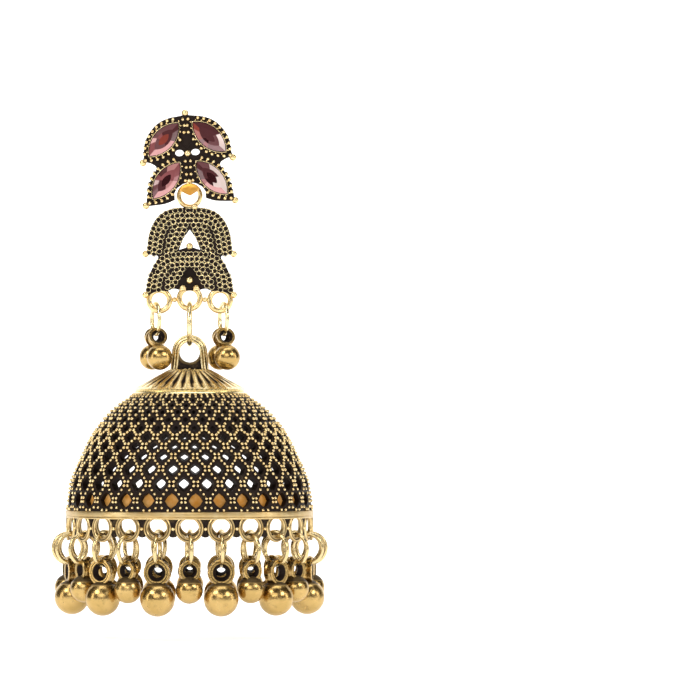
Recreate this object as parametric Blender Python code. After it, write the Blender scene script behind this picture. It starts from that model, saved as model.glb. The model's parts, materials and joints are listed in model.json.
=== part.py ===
"""A jhumka drop earring: a stud plaque, a second plaque, a pierced bell and its ball fringe.

Metres, +Z up, the front faces -Y. The origin is on the ear post's axis, at the back of the stud.
Everything below the stud hangs plumb from the tongue at its foot.
"""

import math

import bmesh
import bpy
from mathutils import Matrix, Vector

# Gaps and seats
SEAT_GAP = 0.0001
LINK_GAP = 0.0001
JOIN = 0.0001

# The stud: a plate of two pairs of leaves, turned a little on its post
STUD_TURN = math.radians(3.6)
STUD_HALF_WIDTH = 0.0071
STUD_RISE = 0.00435
STUD_FALL = 0.00985
STUD_PLATE = 0.0010
STUD_BALL_RADIUS = 0.00055
STUD_PEEP_RADIUS = 0.00052
STUD_PEEP_OFFSET = 0.00126
STUD_PEEP_DROP = 0.0017
CENTRE_BALL_DROP = 0.0019
SPINE_WIDTH = 0.0011
SPINE_HEIGHT = 0.0003
COLLAR_WALL = 0.0003
COLLAR_HEIGHT = 0.0006

# The marquise stones
STONE_WIDTH = 0.0032
STONE_DEPTH = 0.0008
STONE_CROWN = 0.0005
STONE_GIRDLE = 0.00015
STONE_TABLE_SHARE = 0.55
STONE_ARC_STEPS = 6
UPPER_STONE_TIPS = ((0.0012, 0.0030), (0.0061, -0.0019))
LOWER_STONE_TIPS = ((0.0014, -0.0033), (0.0059, -0.0087))

# The pin behind the stud
POST_RADIUS = 0.0004
POST_LENGTH = 0.0110
POST_PAD_RADIUS = 0.0009
POST_PAD_THICKNESS = 0.0005

# The tongue that carries the second plaque
TONGUE_REACH = 0.00693
TONGUE_RADIUS = 0.00237
TONGUE_HALF_WIDTH = 0.00112
TONGUE_FRONT_PROUD = 0.0003
TONGUE_BACK_WALL = 0.0004
TONGUE_BORE_GAP = 0.00018

# The second plaque and its rings
TOP_RING_RADIUS = 0.00172
TOP_RING_WIRE = 0.00036
TOP_RING_SETBACK_GAP = 0.00034
NOTCH_GAP = 0.0002
PLAQUE_HALF_WIDTH = 0.0071
PLAQUE_HEIGHT = 0.01432
PLAQUE_THICKNESS = 0.0011
PLAQUE_RELIEF = 0.0003
PLAQUE_RELIEF_INSET = 0.0006
PLAQUE_BALL_RADIUS = 0.00055
EYE_RISE = 0.0033
EYE_HALF_WIDTH = 0.0017
EYE_FLOOR_SHARE = 0.47
RECESS_FLOOR_SHARE = 0.775
RECESS_DEPTH = 0.0006
LOOP_RING_RADIUS = 0.00166
LOOP_RING_WIRE = 0.00054
LOOP_RING_SPACING = 0.00485
SIDE_RING_STEP = 0.00035
BRIDGE_RADIUS = 0.0005

# The jump rings
CENTRE_LINK_WIRE = 0.00035
SIDE_LINK_WIRE = 0.0003
SIDE_LINK_RADIUS = 0.00248
SIDE_LINK_OFFSET = 0.00057
SIDE_LINK_TURN = math.radians(15)

# The side beads, two on each side link
SIDE_BEAD_RADIUS = 0.00205
SIDE_BEAD_SPREAD = math.radians(22)
SIDE_LOOP_HOLE = 0.0011
SIDE_LOOP_WALL = 0.0004
SIDE_LOOP_LENGTH = 0.0011
SIDE_BEAD_DROP = 0.00345

# The bail on the bell's crown, and how far below the second plaque's hinge its hole begins
BAIL_HANG = 0.0251
BAIL_HOLE = 0.00163
BAIL_FLARE = 0.00042
BAIL_WALL = 0.00109
BAIL_CROWNING = 0.0003
BAIL_DEPTH = 0.0030
BAIL_LEG = 0.00317

# The bell
CELLS = 31
CELL_PHASE = math.radians(3.9)
RIM_RADIUS = 0.01984
RIM_HEIGHT = 0.0011
BELL_WALL = 0.0008
BELL_RADIUS = 0.01957
BELL_HEIGHT = 0.01920
BELL_SHOULDER_RADIUS = 0.00846
CROWN_RADIUS = 0.0030
CROWN_HEIGHT = 0.0030
CROWN_BAND = 0.0006
FLUTE_DEPTH = 0.0003
SADDLE_DEPTH = 0.0003

# The fringe
DROPS = 24
DROP_PHASE = math.radians(0.8)
RIM_LOOP_RADIUS = 0.0019
RIM_LOOP_WIRE = 0.00038
RIM_LOOP_LINE = RIM_RADIUS - BELL_WALL / 2
RIM_LOOP_DROP = 0.0014
DROP_RING_RADIUS = 0.00235
DROP_RING_WIRE = 0.0003
DROP_SIZES = {
    "small": {"bead": 0.00217, "hole": 0.00112, "wall": 0.00062, "length": 0.0014, "drop": 0.0030},
    "large": {"bead": 0.00278, "hole": 0.00136, "wall": 0.00076, "length": 0.0017, "drop": 0.0042},
}

# How round the round things are
LINK_SIDES = 12
WIRE_SIDES = 6
DROP_SIDES = 10
BAIL_SIDES = 12
DROP_WIRE_SIDES = 5
BALL_SIDES = 6
BALL_RINGS = 5
BEAD_RINGS = 5

# Half of the stud's outline: share of its half width, share of its rise (+) or fall (-)
STUD_OUTLINE = (
    (0.00, 1.00),
    (0.16, 0.96),
    (0.32, 0.91),
    (0.59, 0.77),
    (0.83, 0.43),
    (0.97, -0.035),
    (0.985, -0.23),
    (0.99, -0.29),
    (0.85, -0.31),
    (0.72, -0.40),
    (0.89, -0.60),
    (0.97, -0.84),
    (0.985, -0.95),
    (0.93, -1.00),
    (0.57, -0.99),
    (0.36, -0.94),
    (0.25, -0.84),
    (0.14, -0.70),
    (0.00, -0.62),
)

# Half of the second plaque's outline: share of its half width, share of its height from the top
PLAQUE_OUTLINE = (
    (0.00, 0.00),
    (0.29, 0.00),
    (0.43, 0.015),
    (0.62, 0.06),
    (0.78, 0.135),
    (0.875, 0.23),
    (0.925, 0.325),
    (0.95, 0.44),
    (0.985, 0.51),
    (0.85, 0.525),
    (0.70, 0.55),
    (0.82, 0.65),
    (0.92, 0.76),
    (0.965, 0.86),
    (0.985, 0.975),
    (0.93, 0.985),
    (0.85, 0.955),
    (0.68, 0.93),
    (0.50, 0.93),
    (0.35, 0.905),
    (0.17, 0.925),
    (0.00, 0.925),
)

# The tongue's front: share of its half width, share of its radius above or below its centre
TONGUE_OUTLINE = (
    (0.00, 0.55),
    (0.60, 0.44),
    (0.75, 0.05),
    (1.00, -0.40),
    (0.55, -0.75),
    (0.00, -1.00),
)

# The raised spine between the leaves: share of its half width, share of the stud's rise or fall
SPINE_OUTLINE = (
    (0.0, 0.90),
    (1.0, 0.80),
    (1.2, 0.00),
    (1.0, -0.60),
    (0.0, -0.63),
)

# The stud's tip balls: share of its half width, share of its rise or fall
STUD_BALLS = (
    (0.0, 1.05),
    (1.015, -0.30),
    (-1.015, -0.30),
    (1.0, -0.99),
    (-1.0, -0.99),
)

# The second plaque's balls: share of its half width, share of its height from the top, and
# share of the way from its middle plane to its raised face
PLAQUE_BALLS = (
    (1.0, 0.517, 0.3),
    (-1.0, 0.517, 0.3),
    (1.0, 0.975, 0.3),
    (-1.0, 0.975, 0.3),
    (0.0, 0.43, 0.65),
)

# The arrowhead opening and the dark recess below it: shares of the opening's half width and rise
EYE_OUTLINE = (
    (0.0, 1.00),
    (0.6, 0.55),
    (1.0, 0.00),
    (0.3, 0.10),
    (0.0, 0.14),
)
RECESS_OUTLINE = (
    (0.0, 0.55),
    (0.8, 0.00),
    (0.0, 0.00),
)

# The bell's side from shoulder to rim: share of the way from its shoulder radius to its full
# radius, share of its height
BELL_PROFILE = (
    (0.00, 0.00),
    (0.05, 0.035),
    (0.355, 0.17),
    (0.615, 0.36),
    (0.80, 0.57),
    (0.94, 0.76),
    (1.00, 1.00),
)

# The pierced rows from the rim up: share of the bell's height at the row's centre, share of the
# row pitch that a gap is high, share of the cell pitch that it is wide
PIERCED_ROWS = (
    (0.896, 0.94, 0.56),
    (0.769, 0.94, 0.52),
    (0.638, 0.90, 0.49),
)

GOLD = (0.72, 0.52, 0.24)
POLISHED_GOLD = (0.86, 0.62, 0.28)
ROSE = (0.42, 0.17, 0.19)


def clear_scene():
    for obj in list(bpy.data.objects):
        bpy.data.objects.remove(obj, do_unlink=True)


def material(name, colour, metallic, roughness):
    made = bpy.data.materials.new(name)
    made.use_nodes = True
    shader = made.node_tree.nodes["Principled BSDF"]
    shader.inputs["Base Color"].default_value = (*colour, 1)
    shader.inputs["Metallic"].default_value = metallic
    shader.inputs["Roughness"].default_value = roughness
    return made


def cast_gold(name):
    return material(name, GOLD, 1.0, 0.42)


def polished_gold(name):
    return material(name, POLISHED_GOLD, 1.0, 0.2)


def mesh_from(shape, name, smooth_angle=math.radians(35)):
    """A mesh of the bmesh, closed, facing out and smooth but for its real edges."""
    bmesh.ops.recalc_face_normals(shape, faces=shape.faces)
    mesh = bpy.data.meshes.new(name)
    shape.to_mesh(mesh)
    shape.free()
    mesh.shade_smooth()
    mesh.set_sharp_from_angle(angle=smooth_angle)
    return mesh


def place(name, mesh, finish=None, parent=None, location=(0, 0, 0), turn=0.0):
    """An object of the mesh, turned about Z and set at its location under its parent."""
    made = bpy.data.objects.new(name, mesh)
    bpy.context.scene.collection.objects.link(made)
    made.parent = parent
    made.location = location
    made.rotation_euler = (0, 0, turn)
    if finish:
        mesh.materials.clear()
        mesh.materials.append(finish)
    return made


def helper(shape, name, parent=None, location=(0, 0, 0)):
    """A solid that joins or cuts another and is no piece of its own."""
    made = place(name, mesh_from(shape, name), None, parent, location)
    made.hide_render = True
    made.display_type = "WIRE"
    return made


def combine(base, other, operation):
    step = base.modifiers.new(other.name, "BOOLEAN")
    step.operation = operation
    step.solver = "EXACT"
    step.object = other


def join(base, *others):
    for other in others:
        combine(base, other, "UNION")


def cut(base, *others):
    for other in others:
        combine(base, other, "DIFFERENCE")


def settled_mesh(obj, name):
    """The object's mesh with its modifiers worked in, for copies to share."""
    bpy.context.view_layer.update()
    graph = bpy.context.evaluated_depsgraph_get()
    return bpy.data.meshes.new_from_object(obj.evaluated_get(graph), depsgraph=graph)


def add_ring(shape, radius, wire, sides, wire_sides, centre=(0, 0, 0), turn=None):
    """A ring of round wire in the XZ plane about its centre, turned by a matrix if one is given."""
    turn = turn or Matrix.Identity(4)
    move = Matrix.Translation(centre) @ turn
    loops = []
    for i in range(sides):
        along = math.tau * i / sides
        out = Vector((math.sin(along), 0, math.cos(along)))
        loop = []
        for k in range(wire_sides):
            around = math.tau * (k + 0.5) / wire_sides
            reach = radius + wire * math.cos(around)
            point = out * reach + Vector((0, wire * math.sin(around), 0))
            loop.append(shape.verts.new(move @ point))
        loops.append(loop)
    for i in range(sides):
        first, second = loops[i], loops[(i + 1) % sides]
        for k in range(wire_sides):
            m = (k + 1) % wire_sides
            shape.faces.new((first[k], first[m], second[m], second[k]))


def add_ball(shape, radius, centre, sides=BALL_SIDES, rings=BALL_RINGS):
    bmesh.ops.create_uvsphere(
        shape,
        u_segments=sides,
        v_segments=rings,
        radius=radius,
        matrix=Matrix.Translation(centre),
    )


def add_rod(shape, radius, start, end, sides, end_radius=None):
    """A closed rod or cone from start to end."""
    start, end = Vector(start), Vector(end)
    along = end - start
    turn = along.to_track_quat("Z", "Y").to_matrix().to_4x4()
    bmesh.ops.create_cone(
        shape,
        cap_ends=True,
        segments=sides,
        radius1=radius,
        radius2=radius if end_radius is None else end_radius,
        depth=along.length,
        matrix=Matrix.Translation((start + end) / 2) @ turn,
    )


def add_flared_rod(shape, centre, step, stations, sides):
    """A closed round rod along a step, whose stations are (number of steps from centre, radius)."""
    turn = step.to_track_quat("Z", "Y").to_matrix()
    rows = []
    for steps, radius in stations:
        row = []
        for i in range(sides):
            angle = math.tau * i / sides
            spot = turn @ Vector((radius * math.cos(angle), radius * math.sin(angle), 0))
            row.append(shape.verts.new(centre + steps * step + spot))
        rows.append(row)
    for first, second in zip(rows, rows[1:]):
        bridge(shape, first, second)
    shape.faces.new(rows[0])
    shape.faces.new(rows[-1])


def add_plate(shape, outline, front, back):
    """A closed plate with an (x, z) outline between two depths."""
    near = [shape.verts.new((x, front, z)) for x, z in outline]
    far = [shape.verts.new((x, back, z)) for x, z in outline]
    shape.faces.new(near)
    shape.faces.new(far)
    for i in range(len(outline)):
        k = (i + 1) % len(outline)
        shape.faces.new((near[i], near[k], far[k], far[i]))


def mirrored(half):
    """A whole outline from its right half, whose first and last points lie on the middle line."""
    return list(half) + [(-x, z) for x, z in reversed(half[1:-1])]


def scaled(shares, half_width, rise, fall, level=0.0):
    """A whole outline from the shares of its right half. Heights count from the level."""
    half = [(x * half_width, level + z * (rise if z > 0 else fall)) for x, z in shares]
    return mirrored(half)


def marquise(tips, half_width, steps=STONE_ARC_STEPS):
    """The outline of two arcs between two tips."""
    first, last = (Vector(tip) for tip in tips)
    half = (last - first) / 2
    middle = (first + last) / 2
    side = Vector((-half.y, half.x)).normalized()
    arc_radius = (half.length**2 + half_width**2) / (2 * half_width)
    sweep = math.asin(half.length / arc_radius)
    points = []
    for sign in (1, -1):
        for i in range(steps):
            angle = sign * (sweep - 2 * sweep * i / steps)
            along = half.normalized() * arc_radius * math.sin(angle)
            bulge = side * sign * (arc_radius * math.cos(angle) - (arc_radius - half_width))
            points.append(tuple(middle + along + bulge))
    return points


def grown(tips, margin):
    """Tips moved apart by a margin on either end."""
    first, last = (Vector(tip) for tip in tips)
    step = (last - first).normalized() * margin
    return tuple(first - step), tuple(last + step)


def flipped(tips):
    return tuple((-x, z) for x, z in tips)


STONES = {
    "stone_upper_left": flipped(UPPER_STONE_TIPS),
    "stone_upper_right": UPPER_STONE_TIPS,
    "stone_lower_left": flipped(LOWER_STONE_TIPS),
    "stone_lower_right": LOWER_STONE_TIPS,
}


def hang_point():
    """Where the second plaque's top ring turns in the tongue."""
    setback = TOP_RING_WIRE + TOP_RING_SETBACK_GAP
    return Vector(
        (
            TONGUE_REACH * math.sin(STUD_TURN),
            setback,
            -TONGUE_REACH * math.cos(STUD_TURN),
        )
    )


def stud_collars(face):
    """Raised walls round the stones, from inside the plate to their tops."""
    shape = bmesh.new()
    for tips in STONES.values():
        margin = SEAT_GAP + COLLAR_WALL
        outline = marquise(grown(tips, margin * 1.6), STONE_WIDTH / 2 + margin)
        add_plate(shape, outline, face - COLLAR_HEIGHT, face / 2)
    return shape


def stud_pockets(face):
    shape = bmesh.new()
    for tips in STONES.values():
        outline = marquise(grown(tips, SEAT_GAP * 1.6), STONE_WIDTH / 2 + SEAT_GAP)
        add_plate(shape, outline, 2 * (face - COLLAR_HEIGHT), face + STONE_DEPTH / 2)
    return shape


def stud_tongue_parts(face):
    """The tongue's round side and its pointed front, whose common solid is the tongue."""
    hook = hang_point()
    centre = Vector((0, hook.y, -TONGUE_REACH))
    half = TONGUE_HALF_WIDTH
    outline = scaled(TONGUE_OUTLINE, half, TONGUE_RADIUS, TONGUE_RADIUS, centre.z)
    # The ring's top arc falls away on either side of the middle, so the bore flares to clear it
    bore = TOP_RING_WIRE + TONGUE_BORE_GAP
    fall = TOP_RING_RADIUS - math.sqrt(TOP_RING_RADIUS**2 - half**2)
    front = bmesh.new()
    add_plate(front, outline, face - TONGUE_FRONT_PROUD, centre.y + bore + TONGUE_BACK_WALL)
    across = Vector((2 * half, 0, 0))
    side = bmesh.new()
    add_rod(side, TONGUE_RADIUS, centre - across, centre + across, LINK_SIDES + 2)
    hole = bmesh.new()
    stations = [(steps, bore + abs(steps) * fall) for steps in (-2, -1, 0, 1, 2)]
    add_flared_rod(hole, centre, across / 2, stations, DROP_SIDES)
    return front, side, hole


def make_stud(frame):
    face = -STUD_PLATE
    outline = scaled(STUD_OUTLINE, STUD_HALF_WIDTH, STUD_RISE, STUD_FALL)
    plate = bmesh.new()
    add_plate(plate, outline, face, 0)
    finish = cast_gold("stud gold")
    stud = place("top_plaque", mesh_from(plate, "top_plaque"), finish, frame)

    hook = hang_point()
    notch = bmesh.new()
    ring_centre = Vector((0, 0, -TONGUE_REACH - TOP_RING_RADIUS))
    deep = Vector((0, 2 * STUD_PLATE, 0))
    notch_radius = TOP_RING_RADIUS + TOP_RING_WIRE + NOTCH_GAP
    add_rod(notch, notch_radius, ring_centre - deep, ring_centre + deep, LINK_SIDES + 4)
    cut(stud, helper(notch, "stud_notch", frame))

    spine = bmesh.new()
    spine_outline = scaled(SPINE_OUTLINE, SPINE_WIDTH / 2, STUD_RISE, STUD_FALL)
    add_plate(spine, spine_outline, face - SPINE_HEIGHT, face / 2)
    front, side, hole = stud_tongue_parts(face)
    tongue = helper(front, "stud_tongue", frame)
    combine(tongue, helper(side, "stud_tongue_side", frame), "INTERSECT")

    balls = bmesh.new()
    for x, z in STUD_BALLS:
        height = z * (STUD_RISE if z > 0 else STUD_FALL)
        add_ball(balls, STUD_BALL_RADIUS, (x * STUD_HALF_WIDTH, face / 2, height))
    add_ball(balls, STUD_BALL_RADIUS, (0, face - SPINE_HEIGHT, -CENTRE_BALL_DROP))

    join(
        stud,
        helper(stud_collars(face), "stud_collars", frame),
        helper(spine, "stud_spine", frame),
        tongue,
        helper(balls, "stud_balls", frame),
    )
    peeps = bmesh.new()
    for sign in (1, -1):
        centre = Vector((sign * STUD_PEEP_OFFSET, 0, -STUD_PEEP_DROP))
        add_rod(peeps, STUD_PEEP_RADIUS, centre - deep, centre + deep, 8)
    cut(
        stud,
        helper(stud_pockets(face), "stud_pockets", frame),
        helper(peeps, "stud_peeps", frame),
        helper(hole, "stud_tongue_hole", frame),
    )
    return hook


def make_stones(frame):
    """Marquise stones: a flat table, a ring of crown facets, a girdle and a keeled back."""
    finish = material("rose crystal", ROSE, 0.0, 0.06)
    back = -STUD_PLATE + STONE_DEPTH / 2 - SEAT_GAP
    for name, tips in STONES.items():
        shape = bmesh.new()
        outline = marquise(tips, STONE_WIDTH / 2)
        middle = (Vector(tips[0]) + Vector(tips[1])) / 2
        keel = [tuple(middle.lerp(Vector(point), 0.7)) for point in outline]
        table = [tuple(middle.lerp(Vector(point), STONE_TABLE_SHARE)) for point in outline]
        girdle_back = back - STONE_DEPTH / 2
        levels = (
            (keel, back),
            (outline, girdle_back),
            (outline, girdle_back - STONE_GIRDLE),
            (table, girdle_back - STONE_GIRDLE - STONE_CROWN),
        )
        rows = [[shape.verts.new((x, y, z)) for x, z in level] for level, y in levels]
        for first, second in zip(rows, rows[1:]):
            for i in range(len(outline)):
                k = (i + 1) % len(outline)
                shape.faces.new((first[i], first[k], second[k], second[i]))
        shape.faces.new(rows[0])
        shape.faces.new(rows[-1])
        mesh = mesh_from(shape, name, math.radians(5))
        place(name, mesh, finish, frame)


def make_post(frame):
    """A plain pin on a pad, behind the stud."""
    shape = bmesh.new()
    pad_end = SEAT_GAP + POST_PAD_THICKNESS
    add_rod(shape, POST_PAD_RADIUS, (0, SEAT_GAP, 0), (0, pad_end, 0), 16)
    post = place("ear_post", mesh_from(shape, "ear_post"), polished_gold("pin gold"), frame)
    pin = bmesh.new()
    add_rod(pin, POST_RADIUS, (0, pad_end - JOIN, 0), (0, POST_LENGTH, 0), 12)
    join(post, helper(pin, "post_pin", frame))


def plaque_layout():
    """Places on the second plaque, from its hinge: the top edge, ring centres and balls."""
    top = -TOP_RING_RADIUS - TOP_RING_RADIUS - TOP_RING_WIRE / 2
    floor = top - PLAQUE_HEIGHT
    loop_z = floor - LOOP_RING_WIRE * 0.35
    rings = {
        "left": Vector((-LOOP_RING_SPACING, 0, loop_z - SIDE_RING_STEP)),
        "centre": Vector((0, 0, loop_z)),
        "right": Vector((LOOP_RING_SPACING, 0, loop_z - SIDE_RING_STEP)),
    }
    return top, rings


def make_plaque(frame):
    """The second plaque in one casting with its top ring, balls and three bottom rings."""
    top, rings = plaque_layout()
    half = PLAQUE_THICKNESS / 2
    outline = mirrored(
        [(x * PLAQUE_HALF_WIDTH, top - z * PLAQUE_HEIGHT) for x, z in PLAQUE_OUTLINE]
    )
    plate = bmesh.new()
    add_plate(plate, outline, -half, half)
    bmesh.ops.recalc_face_normals(plate, faces=plate.faces)
    front = [face for face in plate.faces if face.normal.y < -0.9]
    bmesh.ops.inset_region(
        plate, faces=front, thickness=PLAQUE_RELIEF_INSET / 2, depth=PLAQUE_RELIEF
    )
    finish = cast_gold("plaque gold")
    plaque = place("middle_plaque", mesh_from(plate, "middle_plaque"), finish, frame)

    top_ring = bmesh.new()
    add_ring(
        top_ring,
        TOP_RING_RADIUS,
        TOP_RING_WIRE,
        LINK_SIDES + 2,
        DROP_WIRE_SIDES,
        (0, 0, -TOP_RING_RADIUS),
    )
    loops = bmesh.new()
    for centre in rings.values():
        add_ring(loops, LOOP_RING_RADIUS, LOOP_RING_WIRE, LINK_SIDES, DROP_WIRE_SIDES, centre)
    bridges = bmesh.new()
    for sign in (1, -1):
        middle = Vector((sign * LOOP_RING_SPACING / 2, 0, rings["centre"].z - SIDE_RING_STEP / 2))
        add_ball(bridges, BRIDGE_RADIUS, middle)

    face = -half - PLAQUE_RELIEF
    balls = bmesh.new()
    for x, share, depth in PLAQUE_BALLS:
        spot = (x * PLAQUE_HALF_WIDTH, depth * face, top - share * PLAQUE_HEIGHT)
        add_ball(balls, PLAQUE_BALL_RADIUS, spot)

    eye = bmesh.new()
    eye_floor = top - EYE_FLOOR_SHARE * PLAQUE_HEIGHT
    eye_outline = scaled(EYE_OUTLINE, EYE_HALF_WIDTH, EYE_RISE, 0.0, eye_floor)
    add_plate(eye, eye_outline, 2 * face, -2 * face)
    recess = bmesh.new()
    recess_floor = top - RECESS_FLOOR_SHARE * PLAQUE_HEIGHT
    recess_outline = scaled(RECESS_OUTLINE, EYE_HALF_WIDTH, EYE_RISE, 0.0, recess_floor)
    add_plate(recess, recess_outline, 2 * face, face + RECESS_DEPTH)
    cut(
        plaque,
        helper(eye, "plaque_eye", frame),
        helper(recess, "plaque_recess", frame),
    )
    join(
        plaque,
        helper(top_ring, "plaque_top_ring", frame),
        helper(loops, "plaque_loops", frame),
        helper(bridges, "plaque_bridges", frame),
        helper(balls, "plaque_balls", frame),
    )
    return rings


def make_centre_link(frame, ring, bail_hole_top):
    """A round jump ring, edge on, from inside the middle ring to inside the bail."""
    ring_floor = ring.z - LOOP_RING_RADIUS + LOOP_RING_WIRE
    top = ring_floor + LINK_GAP + CENTRE_LINK_WIRE
    bottom = bail_hole_top - LINK_GAP - CENTRE_LINK_WIRE
    shape = bmesh.new()
    turn = Matrix.Rotation(math.pi / 2, 4, "Z")
    centre = (0, 0, (top + bottom) / 2)
    add_ring(shape, (top - bottom) / 2, CENTRE_LINK_WIRE, LINK_SIDES + 4, WIRE_SIDES, centre, turn)
    mesh = mesh_from(shape, "centre_link", math.radians(80))
    place("centre_link", mesh, polished_gold("link gold"), frame)
    return bottom


def bead_with_loop(name, bead, hole, wall, length, drop, sides):
    """A ball under a short tube whose hole's centre is the shape's origin and whose axis is Y."""
    ball = bmesh.new()
    add_ball(ball, bead, (0, 0, -drop), sides, BEAD_RINGS)
    made = place(name + "_ball", mesh_from(ball, name + "_ball", math.radians(80)))
    made.hide_render = True
    made.display_type = "WIRE"
    tube = bmesh.new()
    reach = Vector((0, length / 2, 0))
    add_rod(tube, hole + wall, -reach, reach, sides)
    bore = bmesh.new()
    add_rod(bore, hole, -2 * reach, 2 * reach, sides)
    join(made, helper(tube, name + "_tube"))
    cut(made, helper(bore, name + "_bore"))
    return made


def make_side_clusters(frame, rings):
    """On either side a jump ring, and on it two beads that lean apart."""
    model = bead_with_loop(
        "side_bead_model",
        SIDE_BEAD_RADIUS,
        SIDE_LOOP_HOLE,
        SIDE_LOOP_WALL,
        SIDE_LOOP_LENGTH,
        SIDE_BEAD_DROP,
        DROP_SIDES,
    )
    bead_mesh = settled_mesh(model, "side_bead")
    link_finish = polished_gold("side link gold")
    bead_finish = polished_gold("side bead gold")
    play = LOOP_RING_RADIUS - LOOP_RING_WIRE - SIDE_LINK_WIRE - LINK_GAP
    dip = math.sqrt(play**2 - SIDE_LINK_OFFSET**2)
    reach = SIDE_LINK_RADIUS + SIDE_LOOP_HOLE - SIDE_LINK_WIRE - LINK_GAP
    for side, sign in (("left", -1), ("right", 1)):
        ring = rings[side]
        x = ring.x + sign * SIDE_LINK_OFFSET
        centre = Vector((x, 0, ring.z - dip - SIDE_LINK_RADIUS))
        shape = bmesh.new()
        turn = Matrix.Rotation(math.pi / 2, 4, "Z")
        add_ring(shape, SIDE_LINK_RADIUS, SIDE_LINK_WIRE, LINK_SIDES, DROP_WIRE_SIDES, (0, 0, 0), turn)
        name = f"side_link_{side}"
        mesh = mesh_from(shape, name, math.radians(80))
        place(name, mesh, link_finish, frame, centre, SIDE_LINK_TURN)
        for where, lean in (("front", -SIDE_BEAD_SPREAD), ("back", SIDE_BEAD_SPREAD)):
            turned = Matrix.Rotation(SIDE_LINK_TURN, 4, "Z") @ Matrix.Rotation(lean, 4, "X")
            spot = centre + turned @ Vector((0, 0, -reach))
            bead = place(f"side_bead_{side}_{where}", bead_mesh, bead_finish, frame)
            bead.location = spot
            bead.rotation_euler = turned.to_euler()


def bell_levels(crown_top):
    """Heights on the bell: its shoulder, the rim's top edge and the rim's foot."""
    shoulder = crown_top - CROWN_HEIGHT
    rim_top = shoulder - BELL_HEIGHT
    return shoulder, rim_top, rim_top - RIM_HEIGHT


def bell_radius(share):
    """The bell's radius at a share of its height, on the curve through its profile."""
    for (r0, z0), (r1, z1) in zip(BELL_PROFILE, BELL_PROFILE[1:]):
        if share <= z1:
            part = r0 + (r1 - r0) * (share - z0) / (z1 - z0)
            break
    else:
        part = 1.0
    return BELL_SHOULDER_RADIUS + part * (BELL_RADIUS - BELL_SHOULDER_RADIUS)


def ring_of(shape, count, phase, radius, z, flute=0.0):
    """Points round the bell's axis. Every second one is set back by the flute."""
    points = []
    for i in range(count):
        angle = phase + math.tau * i / count
        reach = radius - (flute if i % 2 else 0.0)
        points.append(shape.verts.new((reach * math.sin(angle), -reach * math.cos(angle), z)))
    return points


def bridge(shape, upper, lower):
    count = len(upper)
    for i in range(count):
        k = (i + 1) % count
        shape.faces.new((upper[i], upper[k], lower[k], lower[i]))


def widen(shape, few, many):
    """Faces between a ring of points and one of twice as many."""
    count = len(few)
    for i in range(count):
        k = (i + 1) % count
        between = many[2 * i + 1]
        shape.faces.new((few[i], between, many[2 * i]))
        shape.faces.new((few[i], few[k], between))
        shape.faces.new((few[k], many[2 * k], between))


def pierced_band(shape, shoulder):
    """Staggered rows of diamond gaps: solid struts between them and a solid square where four meet.

    Returns the rings of points above and below the rows, two points for each cell.
    """
    pitch = math.tau / CELLS

    def point(angle, share):
        radius = bell_radius(share)
        z = shoulder - share * BELL_HEIGHT
        return shape.verts.new((radius * math.sin(angle), -radius * math.cos(angle), z))

    count = len(PIERCED_ROWS)
    centres = [row[0] for row in PIERCED_ROWS]
    gaps = []
    for j, (centre, tall, wide) in enumerate(PIERCED_ROWS):
        below = centres[j - 1] if j else 2 * centres[0] - centres[1]
        above = centres[j + 1] if j + 1 < count else 2 * centres[j] - below
        reach_down = (below - centre) * tall / 2
        reach_up = (centre - above) * tall / 2
        phase = CELL_PHASE + (pitch / 2 if j % 2 else 0.0)
        row = []
        for i in range(CELLS):
            angle = phase + i * pitch
            row.append(
                {
                    "left": point(angle - pitch * wide / 2, centre),
                    "right": point(angle + pitch * wide / 2, centre),
                    "top": point(angle, centre - reach_up),
                    "foot": point(angle, centre + reach_down),
                }
            )
        gaps.append(row)

    def gap(j, i):
        return gaps[j][i % CELLS]

    # A cell of an odd row sits half a pitch after the even row's cell of the same number
    for j in range(count):
        odd = j % 2
        for i in range(CELLS):
            here, after = gap(j, i), gap(j, i + 1)
            upper = gap(j + 1, i + odd) if j + 1 < count else None
            lower = gap(j - 1, i + odd) if j else None
            if upper:
                shape.faces.new((here["top"], here["right"], upper["foot"], upper["left"]))
                shape.faces.new((after["left"], after["top"], upper["right"], upper["foot"]))
            if upper and lower:
                shape.faces.new((here["right"], lower["top"], after["left"], upper["foot"]))
    high_share = 2 * centres[-1] - centres[-2]
    low_share = 1.0
    high_odd = (count - 1) % 2
    high_phase = CELL_PHASE + (pitch / 2 if high_odd else 0.0)
    z_high = shoulder - high_share * BELL_HEIGHT
    z_low = shoulder - low_share * BELL_HEIGHT
    high = ring_of(shape, 2 * CELLS, high_phase, bell_radius(high_share), z_high)
    low = ring_of(shape, 2 * CELLS, CELL_PHASE, RIM_RADIUS, z_low)
    for i in range(CELLS):
        here, after = gap(count - 1, i), gap(count - 1, i + 1)
        lower = gap(count - 2, i + high_odd)
        over, between, following = high[2 * i], high[2 * i + 1], high[(2 * i + 2) % len(high)]
        shape.faces.new((here["top"], here["right"], between, over))
        shape.faces.new((after["left"], after["top"], following, between))
        shape.faces.new((here["right"], lower["top"], after["left"], between))
        here, after = gap(0, i), gap(0, i + 1)
        upper = gap(1, i)
        under, between, following = low[2 * i], low[2 * i + 1], low[(2 * i + 2) % len(low)]
        shape.faces.new((here["right"], here["foot"], under, between))
        shape.faces.new((after["foot"], after["left"], between, following))
        shape.faces.new((here["right"], between, after["left"], upper["foot"]))
    return high, low, high_phase, high_share


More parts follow.
